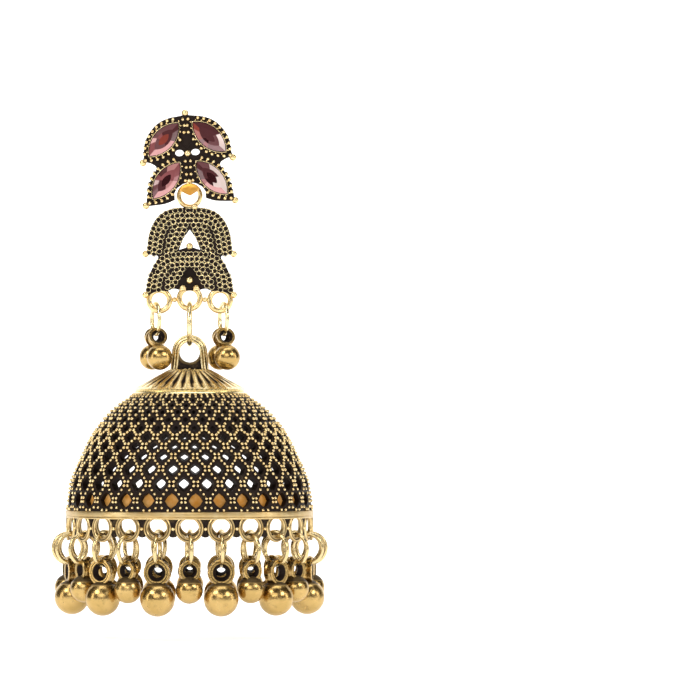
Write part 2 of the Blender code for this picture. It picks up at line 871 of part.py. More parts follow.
def make_bell_sheet(crown_top):
    """The bell's outer face as one sheet, from the middle of its crown to the foot of its rim."""
    shape = bmesh.new()
    shoulder, _, rim_foot = bell_levels(crown_top)
    high, low, phase, high_share = pierced_band(shape, shoulder)
    apex = ring_of(shape, CELLS, phase, CROWN_RADIUS, crown_top)
    fluted_radius = BELL_SHOULDER_RADIUS - CROWN_BAND
    fluted_z = shoulder + CROWN_BAND * CROWN_HEIGHT / (BELL_SHOULDER_RADIUS - CROWN_RADIUS)
    fluted = ring_of(shape, 2 * CELLS, phase, fluted_radius, fluted_z, FLUTE_DEPTH)
    plain = [(BELL_SHOULDER_RADIUS, shoulder)]
    for _, share in BELL_PROFILE[1:]:
        if share < high_share:
            plain.append((bell_radius(share), shoulder - share * BELL_HEIGHT))
    rings = [ring_of(shape, CELLS, phase, radius, z) for radius, z in plain]
    shape.faces.new(apex)
    widen(shape, apex, fluted)
    widen(shape, rings[0], fluted)
    for upper, lower in zip(rings, rings[1:]):
        bridge(shape, upper, lower)
    widen(shape, rings[-1], high)
    rim_lower = ring_of(shape, CELLS, CELL_PHASE, RIM_RADIUS, rim_foot)
    widen(shape, rim_lower, low)
    return shape


def bail_parts(bail_centre, crown_top):
    """The bail: a ring with a crowned edge, its two legs and the flared hole through it."""
    outer = BAIL_HOLE + BAIL_WALL
    centre = Vector((0, 0, bail_centre))
    ring = bmesh.new()
    outline = []
    for i in range(BAIL_SIDES + 1):
        angle = math.pi * i / BAIL_SIDES
        outline.append((outer * math.cos(angle), bail_centre + outer * math.sin(angle)))
    outline.append((-outer, crown_top - SADDLE_DEPTH))
    outline.append((outer, crown_top - SADDLE_DEPTH))
    add_plate(ring, outline, -BAIL_DEPTH / 2, BAIL_DEPTH / 2)
    hole = bmesh.new()
    wide = BAIL_HOLE + BAIL_FLARE
    wider = wide + BAIL_FLARE
    stations = ((-3, wider), (-2, wide), (-1, BAIL_HOLE), (1, BAIL_HOLE), (2, wide), (3, wider))
    add_flared_rod(hole, centre, Vector((0, BAIL_DEPTH / 4, 0)), stations, 14)
    return ring, hole


def rim_loops(rim_foot):
    """The ring of loops under the rim."""
    loops = bmesh.new()
    centre_z = rim_foot - RIM_LOOP_DROP
    for i in range(DROPS):
        angle = DROP_PHASE + math.tau * i / DROPS
        turn = Matrix.Rotation(angle, 4, "Z")
        centre = turn @ Vector((0, -RIM_LOOP_LINE, centre_z))
        add_ring(
            loops, RIM_LOOP_RADIUS, RIM_LOOP_WIRE, DROP_SIDES, DROP_WIRE_SIDES, centre, turn
        )
    return loops, centre_z


def make_bell(frame, bail_centre):
    """The bell in one casting: bail, fluted crown, pierced wall, rim and rim loops."""
    crown_top = bail_centre - BAIL_LEG
    sheet = mesh_from(make_bell_sheet(crown_top), "dome")
    dome = place("dome", sheet, cast_gold("bell gold"), frame)
    wall = dome.modifiers.new("wall", "SOLIDIFY")
    wall.thickness = BELL_WALL
    wall.offset = -1
    wall.use_even_offset = True
    ring, hole = bail_parts(bail_centre, crown_top)
    bail = helper(ring, "bell_bail", frame)
    edge = bail.modifiers.new("crowned edge", "BEVEL")
    edge.width = BAIL_CROWNING
    edge.segments = 1
    edge.limit_method = "ANGLE"
    edge.angle_limit = math.radians(60)
    _, _, rim_foot = bell_levels(crown_top)
    loops, loop_z = rim_loops(rim_foot)
    cut(bail, helper(hole, "bell_bail_hole", frame))
    join(
        dome,
        bail,
        helper(loops, "bell_loops", frame),
    )
    return loop_z


def drop_model(size):
    """A jump ring and its bead in one body. The origin is the ring's centre."""
    sizes = DROP_SIZES[size]
    bead = bead_with_loop(
        f"drop_{size}",
        sizes["bead"],
        sizes["hole"],
        sizes["wall"],
        sizes["length"],
        sizes["drop"],
        DROP_SIDES,
    )
    ring = bmesh.new()
    hole_centre = -DROP_RING_RADIUS + DROP_RING_WIRE - JOIN - sizes["hole"]
    turn = Matrix.Rotation(math.pi / 2, 4, "Z")
    add_ring(
        ring,
        DROP_RING_RADIUS,
        DROP_RING_WIRE,
        DROP_SIDES,
        DROP_WIRE_SIDES,
        (0, 0, -hole_centre),
        turn,
    )
    join(bead, helper(ring, f"drop_{size}_ring"))
    mesh = settled_mesh(bead, f"drop_{size}")
    mesh.transform(Matrix.Translation((0, 0, hole_centre)))
    return mesh


def make_fringe(frame, loop_z):
    """Small and large drops in turn, one in each rim loop, the first at the front."""
    meshes = [drop_model("small"), drop_model("large")]
    finish = polished_gold("fringe gold")
    loop_floor = loop_z - RIM_LOOP_RADIUS + RIM_LOOP_WIRE
    ring_z = loop_floor + LINK_GAP + DROP_RING_WIRE - DROP_RING_RADIUS
    for i in range(DROPS):
        angle = DROP_PHASE + math.tau * i / DROPS
        spot = Matrix.Rotation(angle, 4, "Z") @ Vector((0, -RIM_LOOP_LINE, ring_z))
        place(f"drop_{i + 1:02d}", meshes[i % 2], finish, frame, spot, angle)


def empty(name, parent, location):
    made = bpy.data.objects.new(name, None)
    bpy.context.scene.collection.objects.link(made)
    made.parent = parent
    made.location = location
    return made


def main():
    clear_scene()
    stud_frame = empty("stud_frame", None, (0, 0, 0))
    stud_frame.rotation_euler = (0, -STUD_TURN, 0)
    hook = make_stud(stud_frame)
    make_stones(stud_frame)
    make_post(stud_frame)

    plaque_frame = empty("plaque_hinge", None, hook)
    rings = make_plaque(plaque_frame)
    make_side_clusters(plaque_frame, rings)

    # The link's hinge is the middle ring's wire, and the bell's is the link's lowest wire
    ring_wire = rings["centre"].z - LOOP_RING_RADIUS
    link_frame = empty("link_hinge", None, hook + Vector((0, 0, ring_wire)))
    ring = rings["centre"] - Vector((0, 0, ring_wire))
    bottom = make_centre_link(link_frame, ring, -BAIL_HANG - ring_wire)
    bell_frame = empty("bell_hinge", None, hook + Vector((0, 0, ring_wire + bottom)))
    bail_centre = CENTRE_LINK_WIRE + LINK_GAP - BAIL_HOLE
    loop_z = make_bell(bell_frame, bail_centre)
    make_fringe(bell_frame, loop_z)


main()
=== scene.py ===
"""The finish of a jhumka earring: stones, milgrain, pierced bell, ball fringe and a plain studio.

Metres, +Z up, the front faces -Y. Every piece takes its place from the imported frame.
"""

import json
import math

import bpy
import numpy as np
from bpy.props import FloatProperty, FloatVectorProperty, IntProperty, PointerProperty
from mathutils import Matrix, Vector
from mathutils.geometry import delaunay_2d_cdt


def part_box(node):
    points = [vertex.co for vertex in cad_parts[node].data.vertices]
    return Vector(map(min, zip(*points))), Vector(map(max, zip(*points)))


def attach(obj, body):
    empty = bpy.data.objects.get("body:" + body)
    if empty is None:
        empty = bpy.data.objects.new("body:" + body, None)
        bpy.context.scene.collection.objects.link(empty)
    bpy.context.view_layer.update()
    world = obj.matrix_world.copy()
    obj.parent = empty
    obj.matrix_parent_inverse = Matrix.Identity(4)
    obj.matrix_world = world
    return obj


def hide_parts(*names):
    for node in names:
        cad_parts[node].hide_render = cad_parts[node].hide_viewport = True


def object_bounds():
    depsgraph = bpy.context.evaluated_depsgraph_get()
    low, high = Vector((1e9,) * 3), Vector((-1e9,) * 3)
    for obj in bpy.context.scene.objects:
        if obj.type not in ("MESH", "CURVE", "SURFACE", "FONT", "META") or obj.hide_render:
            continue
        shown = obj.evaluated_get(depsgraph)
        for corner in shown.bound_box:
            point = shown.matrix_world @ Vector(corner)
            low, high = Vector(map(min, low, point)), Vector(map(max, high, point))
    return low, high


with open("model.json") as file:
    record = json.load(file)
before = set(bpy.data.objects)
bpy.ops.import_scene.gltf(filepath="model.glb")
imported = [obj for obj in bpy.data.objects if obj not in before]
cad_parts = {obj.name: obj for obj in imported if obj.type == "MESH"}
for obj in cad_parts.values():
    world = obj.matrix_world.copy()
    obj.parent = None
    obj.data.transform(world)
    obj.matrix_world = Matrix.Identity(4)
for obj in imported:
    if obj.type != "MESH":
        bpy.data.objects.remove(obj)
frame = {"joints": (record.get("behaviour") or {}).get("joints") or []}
CAD_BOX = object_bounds()
PINS = {joint["name"]: Vector(joint["pos_m"]) for joint in frame["joints"]}

bl_info = {
    "name": "Jhumka earring",
    "version": (1, 0, 0),
    "blender": (4, 5, 0),
    "location": "3D View > Sidebar > Jhumka",
    "description": "Dresses a pierced bell earring with its stones, milgrain, fringe and studio",
    "category": "Add Mesh",
}

# The stud's outline and the stones lie turned by this much on the post
STUD_TURN = math.radians(3.6)

# Half of the stud's outline, in metres from the post: across, up
STUD_OUTLINE = (
    (0.0000, 0.00435), (0.0012, 0.00415), (0.0026, 0.00395), (0.0042, 0.00335), (0.0056, 0.00215),
    (0.0067, 0.00030), (0.0070, -0.0018), (0.0071, -0.0028), (0.0060, -0.0031), (0.0051, -0.0039),
    (0.0060, -0.0056), (0.0068, -0.0080), (0.0070, -0.0094), (0.0066, -0.0099), (0.0041, -0.0097),
    (0.0026, -0.0092),
)

# The ends of each marquise stone, in metres from the post: across, up
STONE_TIPS = {
    "stone_upper_left": ((-0.0012, 0.0030), (-0.0061, -0.0019)),
    "stone_upper_right": ((0.0012, 0.0030), (0.0061, -0.0019)),
    "stone_lower_left": ((-0.0014, -0.0033), (-0.0059, -0.0087)),
    "stone_lower_right": ((0.0014, -0.0033), (0.0059, -0.0087)),
}

# The tones of each stone: its middle, the ring round it from the top clockwise, and its crown facets. They
# are the stone's own red with painted reflection: light tones are painted highlights of the lights in its
# backing, dark tones painted shade.
STONE_TONES = {
    "stone_upper_left": ("salmon", "plum plum mauve rose", "mauve plum pink pink pink rose mauve mauve"),
    "stone_upper_right": ("plum", "plum mauve wine plum", "plum plum blush mauve rose mauve salmon plum"),
    "stone_lower_left": ("wine", "rose pink plum rose", "pink rose pink pink pink mauve rose plum"),
    "stone_lower_right": ("wine", "plum blush wine plum", "blush blush blush pink pink rose plum mauve"),
}

# Half of the second plaque's outline, in metres from its hinge: across, down
PLAQUE_OUTLINE = (
    (0.0000, 0.00362), (0.0020, 0.00362), (0.0031, 0.00385), (0.0044, 0.00450), (0.0055, 0.00556),
    (0.0062, 0.00694), (0.0066, 0.00830), (0.00675, 0.00992), (0.0070, 0.01092), (0.0060, 0.01114),
    (0.0050, 0.01150), (0.0058, 0.01293), (0.0065, 0.01450), (0.00685, 0.01594), (0.0070, 0.01758),
    (0.0066, 0.01772), (0.0060, 0.01730), (0.0048, 0.01694), (0.0036, 0.01694), (0.0025, 0.01658),
    (0.0012, 0.01687), (0.0000, 0.01687),
)

# The rows of grains on the right half of the second plaque: the edge that they follow in metres from
# the hinge (across, up), the side of it they lie on, and how many rows
PLAQUE_ROWS = (
    (
        ((0.0, -0.0037), (0.0020, -0.0037), (0.0043, -0.0044),
         (0.0058, -0.0062), (0.0065, -0.0083), (0.0069, -0.0110)),
        1,
        3,
    ),
    (
        ((0.0002, -0.0045), (0.0003, -0.0066), (0.0010, -0.0084),
         (0.0020, -0.0103), (0.0040, -0.0110), (0.0062, -0.0112)),
        -1,
        6,
    ),
    (
        ((0.0, -0.0107), (0.0018, -0.0107), (0.0042, -0.0112),
         (0.0058, -0.0128), (0.0066, -0.0145), (0.0071, -0.0178)),
        1,
        3,
    ),
    (
        ((0.0001, -0.0114), (0.0006, -0.0132), (0.0016, -0.0150),
         (0.0024, -0.0163), (0.0042, -0.0168), (0.0060, -0.0172)),
        -1,
        6,
    ),
)

# The arrowhead opening in the second plaque: across, down
EYE_OUTLINE = ((0.0, 0.00710), (0.0010, 0.00850), (0.0017, 0.01035), (0.0006, 0.01000), (0.0, 0.00990))

# The gold tongue at the stud's foot, from the post: across, up
TONGUE_OUTLINE = (
    (0.0, -0.00668), (0.0008, -0.00686), (0.00135, -0.00720), (0.00164, -0.00765), (0.00092, -0.00815),
    (0.0, -0.00866),
)

# Beads down the middle of the stud, in metres from the post: across, up
SPINE_BEADS = (
    (0.00042, 0.0036), (0.00022, 0.0026), (0.00034, 0.0015), (0.0004, -0.0031), (0.00034, -0.0041),
    (0.00036, -0.0052), (0.0006, -0.0062),
)

# The middles of the two see-through holes, on either side of the middle: across, up
PEEP = (0.00128, -0.00172)

# The notch at the stud's foot, where the second plaque's ring shows: its middle's depth, its reach
NOTCH_DOWN, NOTCH_REACH = 0.0089, 0.0026

# The balls at the stud's tips: across, up
TIP_BALLS = ((0.0, 0.0046), (0.0072, -0.00295), (-0.0072, -0.00295), (0.00715, -0.0098), (-0.00715, -0.0098))

# The bell's side: share of its height below the shoulder, radius
BELL_PROFILE = (
    (0.000, 0.00846), (0.035, 0.00902), (0.170, 0.01240), (0.360, 0.01529), (0.570, 0.01735),
    (0.760, 0.01890), (1.000, 0.01957),
)

# The bell's pierced rows from the rim up: share of its height at the row's middle, gap height as a
# share of the row's pitch, gap width as a share of the cell, milgrain on each strut
BELL_ROWS = (
    (0.900, 0.95, 0.60, 2),
    (0.7635, 0.96, 0.56, 2),
    (0.640, 0.95, 0.54, 2),
    (0.537, 0.92, 0.51, 1),
    (0.455, 0.86, 0.46, 1),
    (0.379, 0.80, 0.42, 1),
    (0.311, 0.70, 0.36, 1),
    (0.235, 0.66, 0.34, 1),
    (0.173, 0.62, 0.32, 1),
    (0.118, 0.58, 0.30, 1),
    (0.077, 0.56, 0.30, 0),
)

# The width of a strut that carries full-size beads, and half the angle of a pair of beads at the rim
FULL_STRUT, PAIR_TURN = 0.0018, 0.026

# The radius of the crown's foot, which sits in the shoulder band
CROWN_FOOT = 0.0087

# How far the first rim loop and its drop stand from the front
FRINGE_TURN = math.radians(0.8)

# The band inside the bell: its radius at the foot and at the top, its wall, the share it rises to
LINING_FOOT, LINING_TOP, LINING_WALL, LINING_SHARE = 0.01852, 0.01834, 0.00012, 0.835


def length_property(name, description, value):
    return FloatProperty(name=name, description=description, default=value, unit="LENGTH")


def angle_property(name, description, degrees):
    return FloatProperty(name=name, description=description, default=math.radians(degrees), subtype="ANGLE")


def colour_property(name, description, value):
    return FloatVectorProperty(
        name=name, description=description, default=value, size=3, subtype="COLOR", min=0.0, max=1.0
    )


class StudSizes(bpy.types.PropertyGroup):
    """Sizes of the stud and of its stones."""

    plate: length_property("Plate", "Thickness of the stud", 0.0010)
    grain: length_property("Milgrain", "Radius of one bead", 0.00029)
    pitch: length_property("Milgrain pitch", "From bead to bead", 0.00098)
    margin: length_property("Milgrain margin", "From a stone's edge to its beads", 0.00064)
    bezel: length_property("Bezel wire", "Radius of a bezel's lip", 0.00005)
    stone: length_property("Stone width", "Width of a marquise", 0.0032)
    tip: length_property("Tip ball", "Radius of the balls at the tips", 0.00056)


class PlaqueSizes(bpy.types.PropertyGroup):
    """Sizes of the second plaque and its rings."""

    plate: length_property("Plate", "Thickness of the plaque", 0.0011)
    grain: length_property("Dark grain", "Radius of one dark grain", 0.00031)
    pitch: length_property("Grain pitch", "From grain to grain", 0.00083)
    prong: length_property("Prong", "Radius of a bright prong", 0.00014)
    top_ring: length_property("Top ring", "Radius of its wire's line", 0.00172)
    top_wire: length_property("Top ring wire", "Radius of its wire", 0.00036)
    ring: length_property("Bottom rings", "Radius of their wire's line", 0.00166)
    ring_wire: length_property("Bottom ring wire", "Radius of it", 0.00054)
    spacing: length_property("Ring spacing", "From ring to ring", 0.00485)


class BellSizes(bpy.types.PropertyGroup):
    """Sizes of the bell."""

    cells: IntProperty(name="Cells", description="Gaps in one row round the bell", default=31, min=8)
    phase: angle_property("Cell phase", "Turn of the lowest row", 3.9)
    wall: length_property("Wall", "Thickness of the pierced wall", 0.0011)
    grain: length_property("Milgrain", "Radius of one bead", 0.00029)
    height: length_property("Height", "Shoulder to rim", 0.0192)
    rim: length_property("Rim radius", "Outside radius of the rim", 0.01984)
    rim_height: length_property("Rim height", "Height of the rim band", 0.0011)
    shoulder: length_property("Shoulder", "Its height in the frame", -0.03982)
    crown: length_property("Crown height", "Height of the fluted cone", 0.0030)
    neck: length_property("Neck radius", "Where the flutes begin", 0.0030)
    bail: length_property("Bail hole", "Radius of the bail's hole", 0.00163)
    bail_wall: length_property("Bail wall", "From hole to crest", 0.00109)
    bail_depth: length_property("Bail depth", "Front to back", 0.0030)


class FringeSizes(bpy.types.PropertyGroup):
    """Sizes of the rim loops, drops, links and side beads."""

    drops: IntProperty(name="Drops", description="Drops round the rim", default=24, min=3)
    loop: length_property("Rim loop", "Radius of its wire's line", 0.0019)
    loop_wire: length_property("Rim loop wire", "Half its width", 0.00038)
    line: length_property("Loop circle", "Radius the loops stand on", 0.01944)
    fall: length_property("Loop drop", "Rim's foot to loop centres", 0.0014)
    ring: length_property("Jump ring", "Radius of its wire's line", 0.00235)
    wire: length_property("Jump ring wire", "Radius of it", 0.0003)
    side_link: length_property("Side link", "Radius of its wire's line", 0.00248)
    side_bead: length_property("Side bead", "Radius of a side bead", 0.00205)
    spread: angle_property("Side spread", "Lean of a side bead", 22)
    side_turn: angle_property("Side turn", "Turn of a side link", 15)


class Finishes(bpy.types.PropertyGroup):
    """Colours of the metals and of the crystal, whose facet tones hold painted reflection."""

    gold: colour_property("Gold", "Polished antique gold", (0.72, 0.51, 0.22))
    pale: colour_property("Pale gold", "Worn bright edges", (0.90, 0.78, 0.47))
    lining: colour_property("Lining", "Matte gold inside the bell", (0.50, 0.20, 0.015))
    amber: colour_property("Amber gold", "Deeper gold of the beads", (0.46, 0.31, 0.11))
    # This black is blackened patina in recesses, and also painted shade inside the tube loops, on the ball
    # tops under them and on the tongue's lower half.
    oxide_and_shade: colour_property("Oxide", "Blackened recesses", (0.012, 0.006, 0.004))
    # The stone tones below are the crystal's red with painted reflection: lighter ones up to blush are
    # painted highlights, the darkest painted shade.
    salmon: colour_property("Salmon", "Warm red facets", (0.30, 0.060, 0.045))
    plum: colour_property("Plum", "Dark facets", (0.102, 0.032, 0.038))
    wine: colour_property("Wine", "Darkest facets", (0.038, 0.006, 0.010))
    mauve: colour_property("Mauve", "Greyed facets", (0.19, 0.08, 0.09))
    rose: colour_property("Rose", "Middle facets", (0.31, 0.10, 0.11))
    pink: colour_property("Pink", "Light facets", (0.58, 0.27, 0.27))
    blush: colour_property("Blush", "Lightest facets", (0.92, 0.76, 0.74))
    orange: colour_property("Orange gold", "The stud's tongue", (0.86, 0.42, 0.07))
    floor: colour_property("Floor", "The studio's floor and back", (0.90, 0.90, 0.90))


class StudioSizes(bpy.types.PropertyGroup):
    """The camera and the studio round the earring."""

    distance: length_property("Distance", "Camera to earring", 1.5)
    width: length_property("View width", "Width seen at the earring", 0.112)
    across: length_property("Camera across", "Camera's X", 0.0261)
    height: length_property("Camera height", "Camera's Z", -0.0333)
    floor_gap: length_property("Floor gap", "Beads to floor", 0.004)


def chosen(group):
    """The sizes or colours of one group in the sidebar."""
    return getattr(bpy.context.scene, "jhumka_" + group)


class Value:
    """A shader socket that takes part in sums."""

    def __init__(self, paint, socket):
        self.paint = paint
        self.socket = socket

    def joined(self, operation, *others, clamp=False):
        sockets = dict(enumerate((self, *others)))
        node = self.paint.node("ShaderNodeMath", {"operation": operation, "use_clamp": clamp}, sockets)
        return Value(self.paint, node.outputs[0])

    def __add__(self, other):
        return self.joined("ADD", other)

    def __mul__(self, other):
        return self.joined("MULTIPLY", other)

    def __sub__(self, other):
        return self.joined("SUBTRACT", other)

    def __rsub__(self, other):
        return (self * -1.0) + other

    def clamped(self):
        return self.joined("ADD", 0.0, clamp=True)


class Paint:
    """A material being mixed."""

    def __init__(self, name):
        self.material = bpy.data.materials.new(name)
        self.material.use_nodes = True
        self.tree = self.material.node_tree
        self.shader = self.tree.nodes["Principled BSDF"]

    def node(self, kind, settings=None, sockets=None):
        made = self.tree.nodes.new(kind)
        for name, value in (settings or {}).items():
            setattr(made, name, value)
        for key, value in (sockets or {}).items():
            self.feed(made.inputs[key], value)
        return made

    def feed(self, socket, value):
        if isinstance(value, Value):
            value = value.socket
        if isinstance(value, bpy.types.NodeSocket):
            self.tree.links.new(value, socket)
        else:
            socket.default_value = value

    def noise(self, scale, detail):
        place = self.node("ShaderNodeTexCoord").outputs["Object"]
        made = self.node("ShaderNodeTexNoise", {}, {"Vector": place, "Scale": scale, "Detail": detail})
        return Value(self, made.outputs[0])

    def attribute(self, name):
        made = self.node("ShaderNodeAttribute", {"attribute_name": name})
        return Value(self, made.outputs["Fac"]), made.outputs["Color"]

    def blend(self, share, first, second, kind="MIX"):
        made = self.node("ShaderNodeMix", {"data_type": "RGBA", "blend_type": kind}, {0: share})
        self.feed(made.inputs[6], rgba(first))
        self.feed(made.inputs[7], rgba(second))
        return made.outputs[2]

    def bump(self, height, strength, distance):
        sockets = {"Strength": strength, "Distance": distance, "Height": height}
        return self.node("ShaderNodeBump", {}, sockets).outputs["Normal"]

    def finish(self, **sockets):
        for name, value in sockets.items():
            self.feed(self.shader.inputs[name.replace("_", " ").title().replace("Ior", "IOR")], value)
        return self.material


def rgba(colour):
    if isinstance(colour, (bpy.types.NodeSocket, Value)):
        return colour
    return (*colour, 1.0)


def cast_gold(name):
    """Cast gold whose recesses, marked by the oxide attribute, are blackened."""
    paint = Paint(name)
    tones = chosen("finishes")
    oxide_and_shade, _ = paint.attribute("oxide_and_shade")
    cloud = paint.noise(700.0, 3.0)
    grit = paint.noise(5200.0, 2.0)
    dark = (oxide_and_shade * 1.12 + (cloud - 0.5) * 0.3 * oxide_and_shade + (grit - 0.55) * 0.2 * oxide_and_shade).clamped()
    worn = paint.blend((cloud * 1.4 - 0.3 - oxide_and_shade).clamped(), tones.gold, tones.pale)
    colour = paint.blend(dark, worn, tones.oxide_and_shade)
    return paint.finish(
        base_color=colour,
        metallic=1.0 - dark * 0.7,
        roughness=dark * 0.3 + (grit * 0.12 + 0.2),
        specular_ior_level=0.2,
        normal=paint.bump(grit, 0.25, 0.00004),
    )


def bead_gold(name, colour):
    """Polished gold with fine scuffs and a frosting of small pits."""
    paint = Paint(name)
    tones = chosen("finishes")
    oxide_and_shade, _ = paint.attribute("oxide_and_shade")
    cloud = paint.noise(420.0, 3.0)
    pits = paint.noise(3400.0, 3.0)
    stain = paint.noise(900.0, 2.0)
    # Dark marks are blackened patina in hollows, and also painted shade inside the tube loops, on the ball
    # tops under them and on the tongue's lower half.
    dark = (oxide_and_shade + (stain * 3.0 - 1.75).clamped() * 0.3).clamped()
    warm = paint.blend((cloud * 2.0 - 0.7).clamped() * 0.5, colour, tones.gold)
    warm = paint.blend((0.0 - oxide_and_shade).clamped(), warm, tones.pale)
    return paint.finish(
        base_color=paint.blend(dark, warm, tones.oxide_and_shade),
        metallic=1.0 - dark * 0.6,
        roughness=dark * 0.3 + (cloud * 0.16 + 0.17),
        specular_ior_level=0.2,
        normal=paint.bump(pits, 0.6, 0.00005),
    )


def lining_gold_with_painted_glow(name):
    """Matte gold that shows through the lowest gaps of the bell, with a faint painted glow."""
    paint = Paint(name)
    tones = chosen("finishes")
    cloud = paint.noise(800.0, 3.0)
    colour = paint.blend((cloud * 1.2 - 0.4).clamped(), tones.lining, tones.gold)
    # Painted glow: the lining also emits its own colour faintly, as if lit, though it is no lamp.
    return paint.finish(
        base_color=colour, metallic=0.35, roughness=0.6, emission_color=colour, emission_strength=0.12
    )


def crystal_with_painted_reflection(name):
    """Foil-backed crystal: each facet has its own depth of colour, the stone's red lightened or darkened as
    painted reflection of the lights.
    """
    paint = Paint(name)
    _, tone = paint.attribute("facet_tone_and_reflection")
    cloud = paint.noise(900.0, 2.0)
    depth = paint.blend(cloud, (0.45, 0.40, 0.42), (1.0, 1.0, 1.0))
    colour = paint.blend(0.35, tone, depth, "MULTIPLY")
    return paint.finish(base_color=colour, metallic=0.25, roughness=0.10, coat_weight=1.0)


def deselect():
    bpy.ops.object.select_all(action="DESELECT")


def active(name):
    """The object that an operator has just added, under its name."""
    made = bpy.context.active_object
    made.name = name
    made.data.name = name
    return made


def selected_alone(obj):
    deselect()
    obj.select_set(True)
    bpy.context.view_layer.objects.active = obj


def edit(obj, *steps):
    """Runs mesh operators on all of the object in edit mode."""
    selected_alone(obj)
    bpy.ops.object.mode_set(mode="EDIT")
    bpy.ops.mesh.select_all(action="SELECT")
    for step in steps:
        step()
    bpy.ops.object.mode_set(mode="OBJECT")


def welded():
    bpy.ops.mesh.remove_doubles(threshold=0.000004)
    bpy.ops.mesh.normals_make_consistent(inside=False)


def apply_modifiers(obj):
    selected_alone(obj)
    for step in list(obj.modifiers):
        bpy.ops.object.modifier_apply(modifier=step.name)


def smooth(obj, angle=math.radians(40)):
    selected_alone(obj)
    bpy.ops.object.shade_smooth_by_angle(angle=angle)


def mark_oxide_and_shade(obj, rule):
    """Marks each point of the mesh: 1 is black, 0 is bright gold, and below 0 is paler gold. Black is patina
    in most pieces, and painted shade inside the tube loops, on the ball tops under them and on the tongue's
    lower half.
    """
    marks = obj.data.attributes.get("oxide_and_shade") or obj.data.attributes.new("oxide_and_shade", "FLOAT", "POINT")
    values = rule if callable(rule) else (lambda point: rule)
    marks.data.foreach_set("value", [float(values(vertex.co)) for vertex in obj.data.vertices])
    return obj


def points_of(obj):
    found = np.zeros(len(obj.data.vertices) * 3)
    obj.data.vertices.foreach_get("co", found)
    return found.reshape(-1, 3)


def mesh_object(name, points, faces, edges=()):
    mesh = bpy.data.meshes.new(name)
    mesh.from_pydata([tuple(point) for point in points], list(edges), faces)
    made = bpy.data.objects.new(name, mesh)
    bpy.context.scene.collection.objects.link(made)
    return made


def torus(name, radius, wire, matrix=None, sides=40, wire_sides=12):
    """A round ring. Without a matrix it lies in the XZ plane."""
    deselect()
    bpy.ops.mesh.primitive_torus_add(
        major_radius=radius, minor_radius=wire, major_segments=sides, minor_segments=wire_sides
    )
    made = active(name)
    upright = Matrix.Rotation(math.pi / 2, 4, "X")
    made.data.transform((matrix or Matrix.Identity(4)) @ upright)
    made.data.shade_smooth()
    return mark_oxide_and_shade(made, 0.0)


def ball(name, radius, centre, segments=24, rings=14):
    deselect()
    bpy.ops.mesh.primitive_uv_sphere_add(segments=segments, ring_count=rings, radius=radius)
    made = active(name)
    made.data.transform(Matrix.Translation(centre))
    made.data.shade_smooth()
    return mark_oxide_and_shade(made, 0.0)


def turned(name, profile, axis="Z", steps=48, closed=True, angle=math.radians(40)):
    """A profile of (radius, height) spun about an axis."""
    edges = [(i, i + 1) for i in range(len(profile) - 1)]
    if closed:
        edges.append((len(profile) - 1, 0))
    made = mesh_object(name, [(radius, 0.0, height) for radius, height in profile], [], edges)
    edit(
        made,
        lambda: bpy.ops.mesh.spin(
            steps=steps, angle=math.tau, dupli=False, center=(0, 0, 0), axis=(0, 0, 1)
        ),
        lambda: bpy.ops.mesh.select_all(action="SELECT"),
        welded,
    )
    if axis == "Y":
        made.data.transform(Matrix.Rotation(-math.pi / 2, 4, "X"))
    smooth(made, angle)
    return mark_oxide_and_shade(made, 0.0)


def plate(name, outline, front, back, bevel=0.0001):
    """A plate of an (x, z) outline between two depths, with softened edges."""
    deselect()
    bpy.ops.mesh.primitive_circle_add(vertices=len(outline), fill_type="NGON")
    made = active(name)
    for vertex, (x, z) in zip(made.data.vertices, outline):
        vertex.co = (x, front, z)
    edit(
        made,
        lambda: bpy.ops.mesh.extrude_region_move(
            TRANSFORM_OT_translate={"value": (0.0, back - front, 0.0)}
        ),
        lambda: bpy.ops.mesh.select_all(action="SELECT"),
        welded,
    )
    if bevel:
        step = made.modifiers.new("softened edge", "BEVEL")
        step.width = bevel
        step.segments = 2
        step.limit_method = "ANGLE"
        step.angle_limit = math.radians(50)
        apply_modifiers(made)
    smooth(made, math.radians(30))
    return mark_oxide_and_shade(made, 0.0)


def joined(name, parts):
    deselect()
    for part in parts:
        part.select_set(True)
    bpy.context.view_layer.objects.active = parts[0]
    if len(parts) > 1:
        bpy.ops.object.join()
    return active(name)


def scattered(name, seed, places):
    """Copies of a small seed shape, one for each matrix, in one mesh."""
    points = points_of(seed)
    polygons = [tuple(polygon.vertices) for polygon in seed.data.polygons]
    shades = np.zeros(len(points))
    seed.data.attributes["oxide_and_shade"].data.foreach_get("value", shades)
    everywhere = []
    faces = []
    for number, place in enumerate(places):
        turn = np.array(place)
        everywhere.append(points @ turn[:3, :3].T + turn[:3, 3])
        shift = number * len(points)
        faces.extend(tuple(index + shift for index in polygon) for polygon in polygons)
    made = mesh_object(name, np.concatenate(everywhere), faces)
    made.data.shade_smooth()
    marks = made.data.attributes.new("oxide_and_shade", "FLOAT", "POINT")
    marks.data.foreach_set("value", np.tile(shades, len(places)))
    bpy.data.objects.remove(seed)
    return made


def grain(name, radius, shade=0.9):
    """One milgrain bead on the XZ plane, proud towards -Y, dark at its foot."""
    deselect()
    bpy.ops.mesh.primitive_uv_sphere_add(segments=8, ring_count=5, radius=radius)
    seed = active(name)
    seed.data.transform(Matrix.Rotation(math.pi / 2, 4, "X"))
    return mark_oxide_and_shade(seed, lambda point: shade if point.y > -radius * 0.1 else 0.0)


def spot(x, y, z):
    return Matrix.Translation((x, y, z))


def middle_of(node):
    low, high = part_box(node)
    return (low + high) / 2


def bell_axis():
    pin = PINS["bell_sway"]
    return spot(pin.x, pin.y, 0.0)


def loop_height():
    """The height of the rim loops' centres."""
    bell = chosen("bell")
    return bell.shoulder - bell.height - bell.rim_height - chosen("fringe").fall


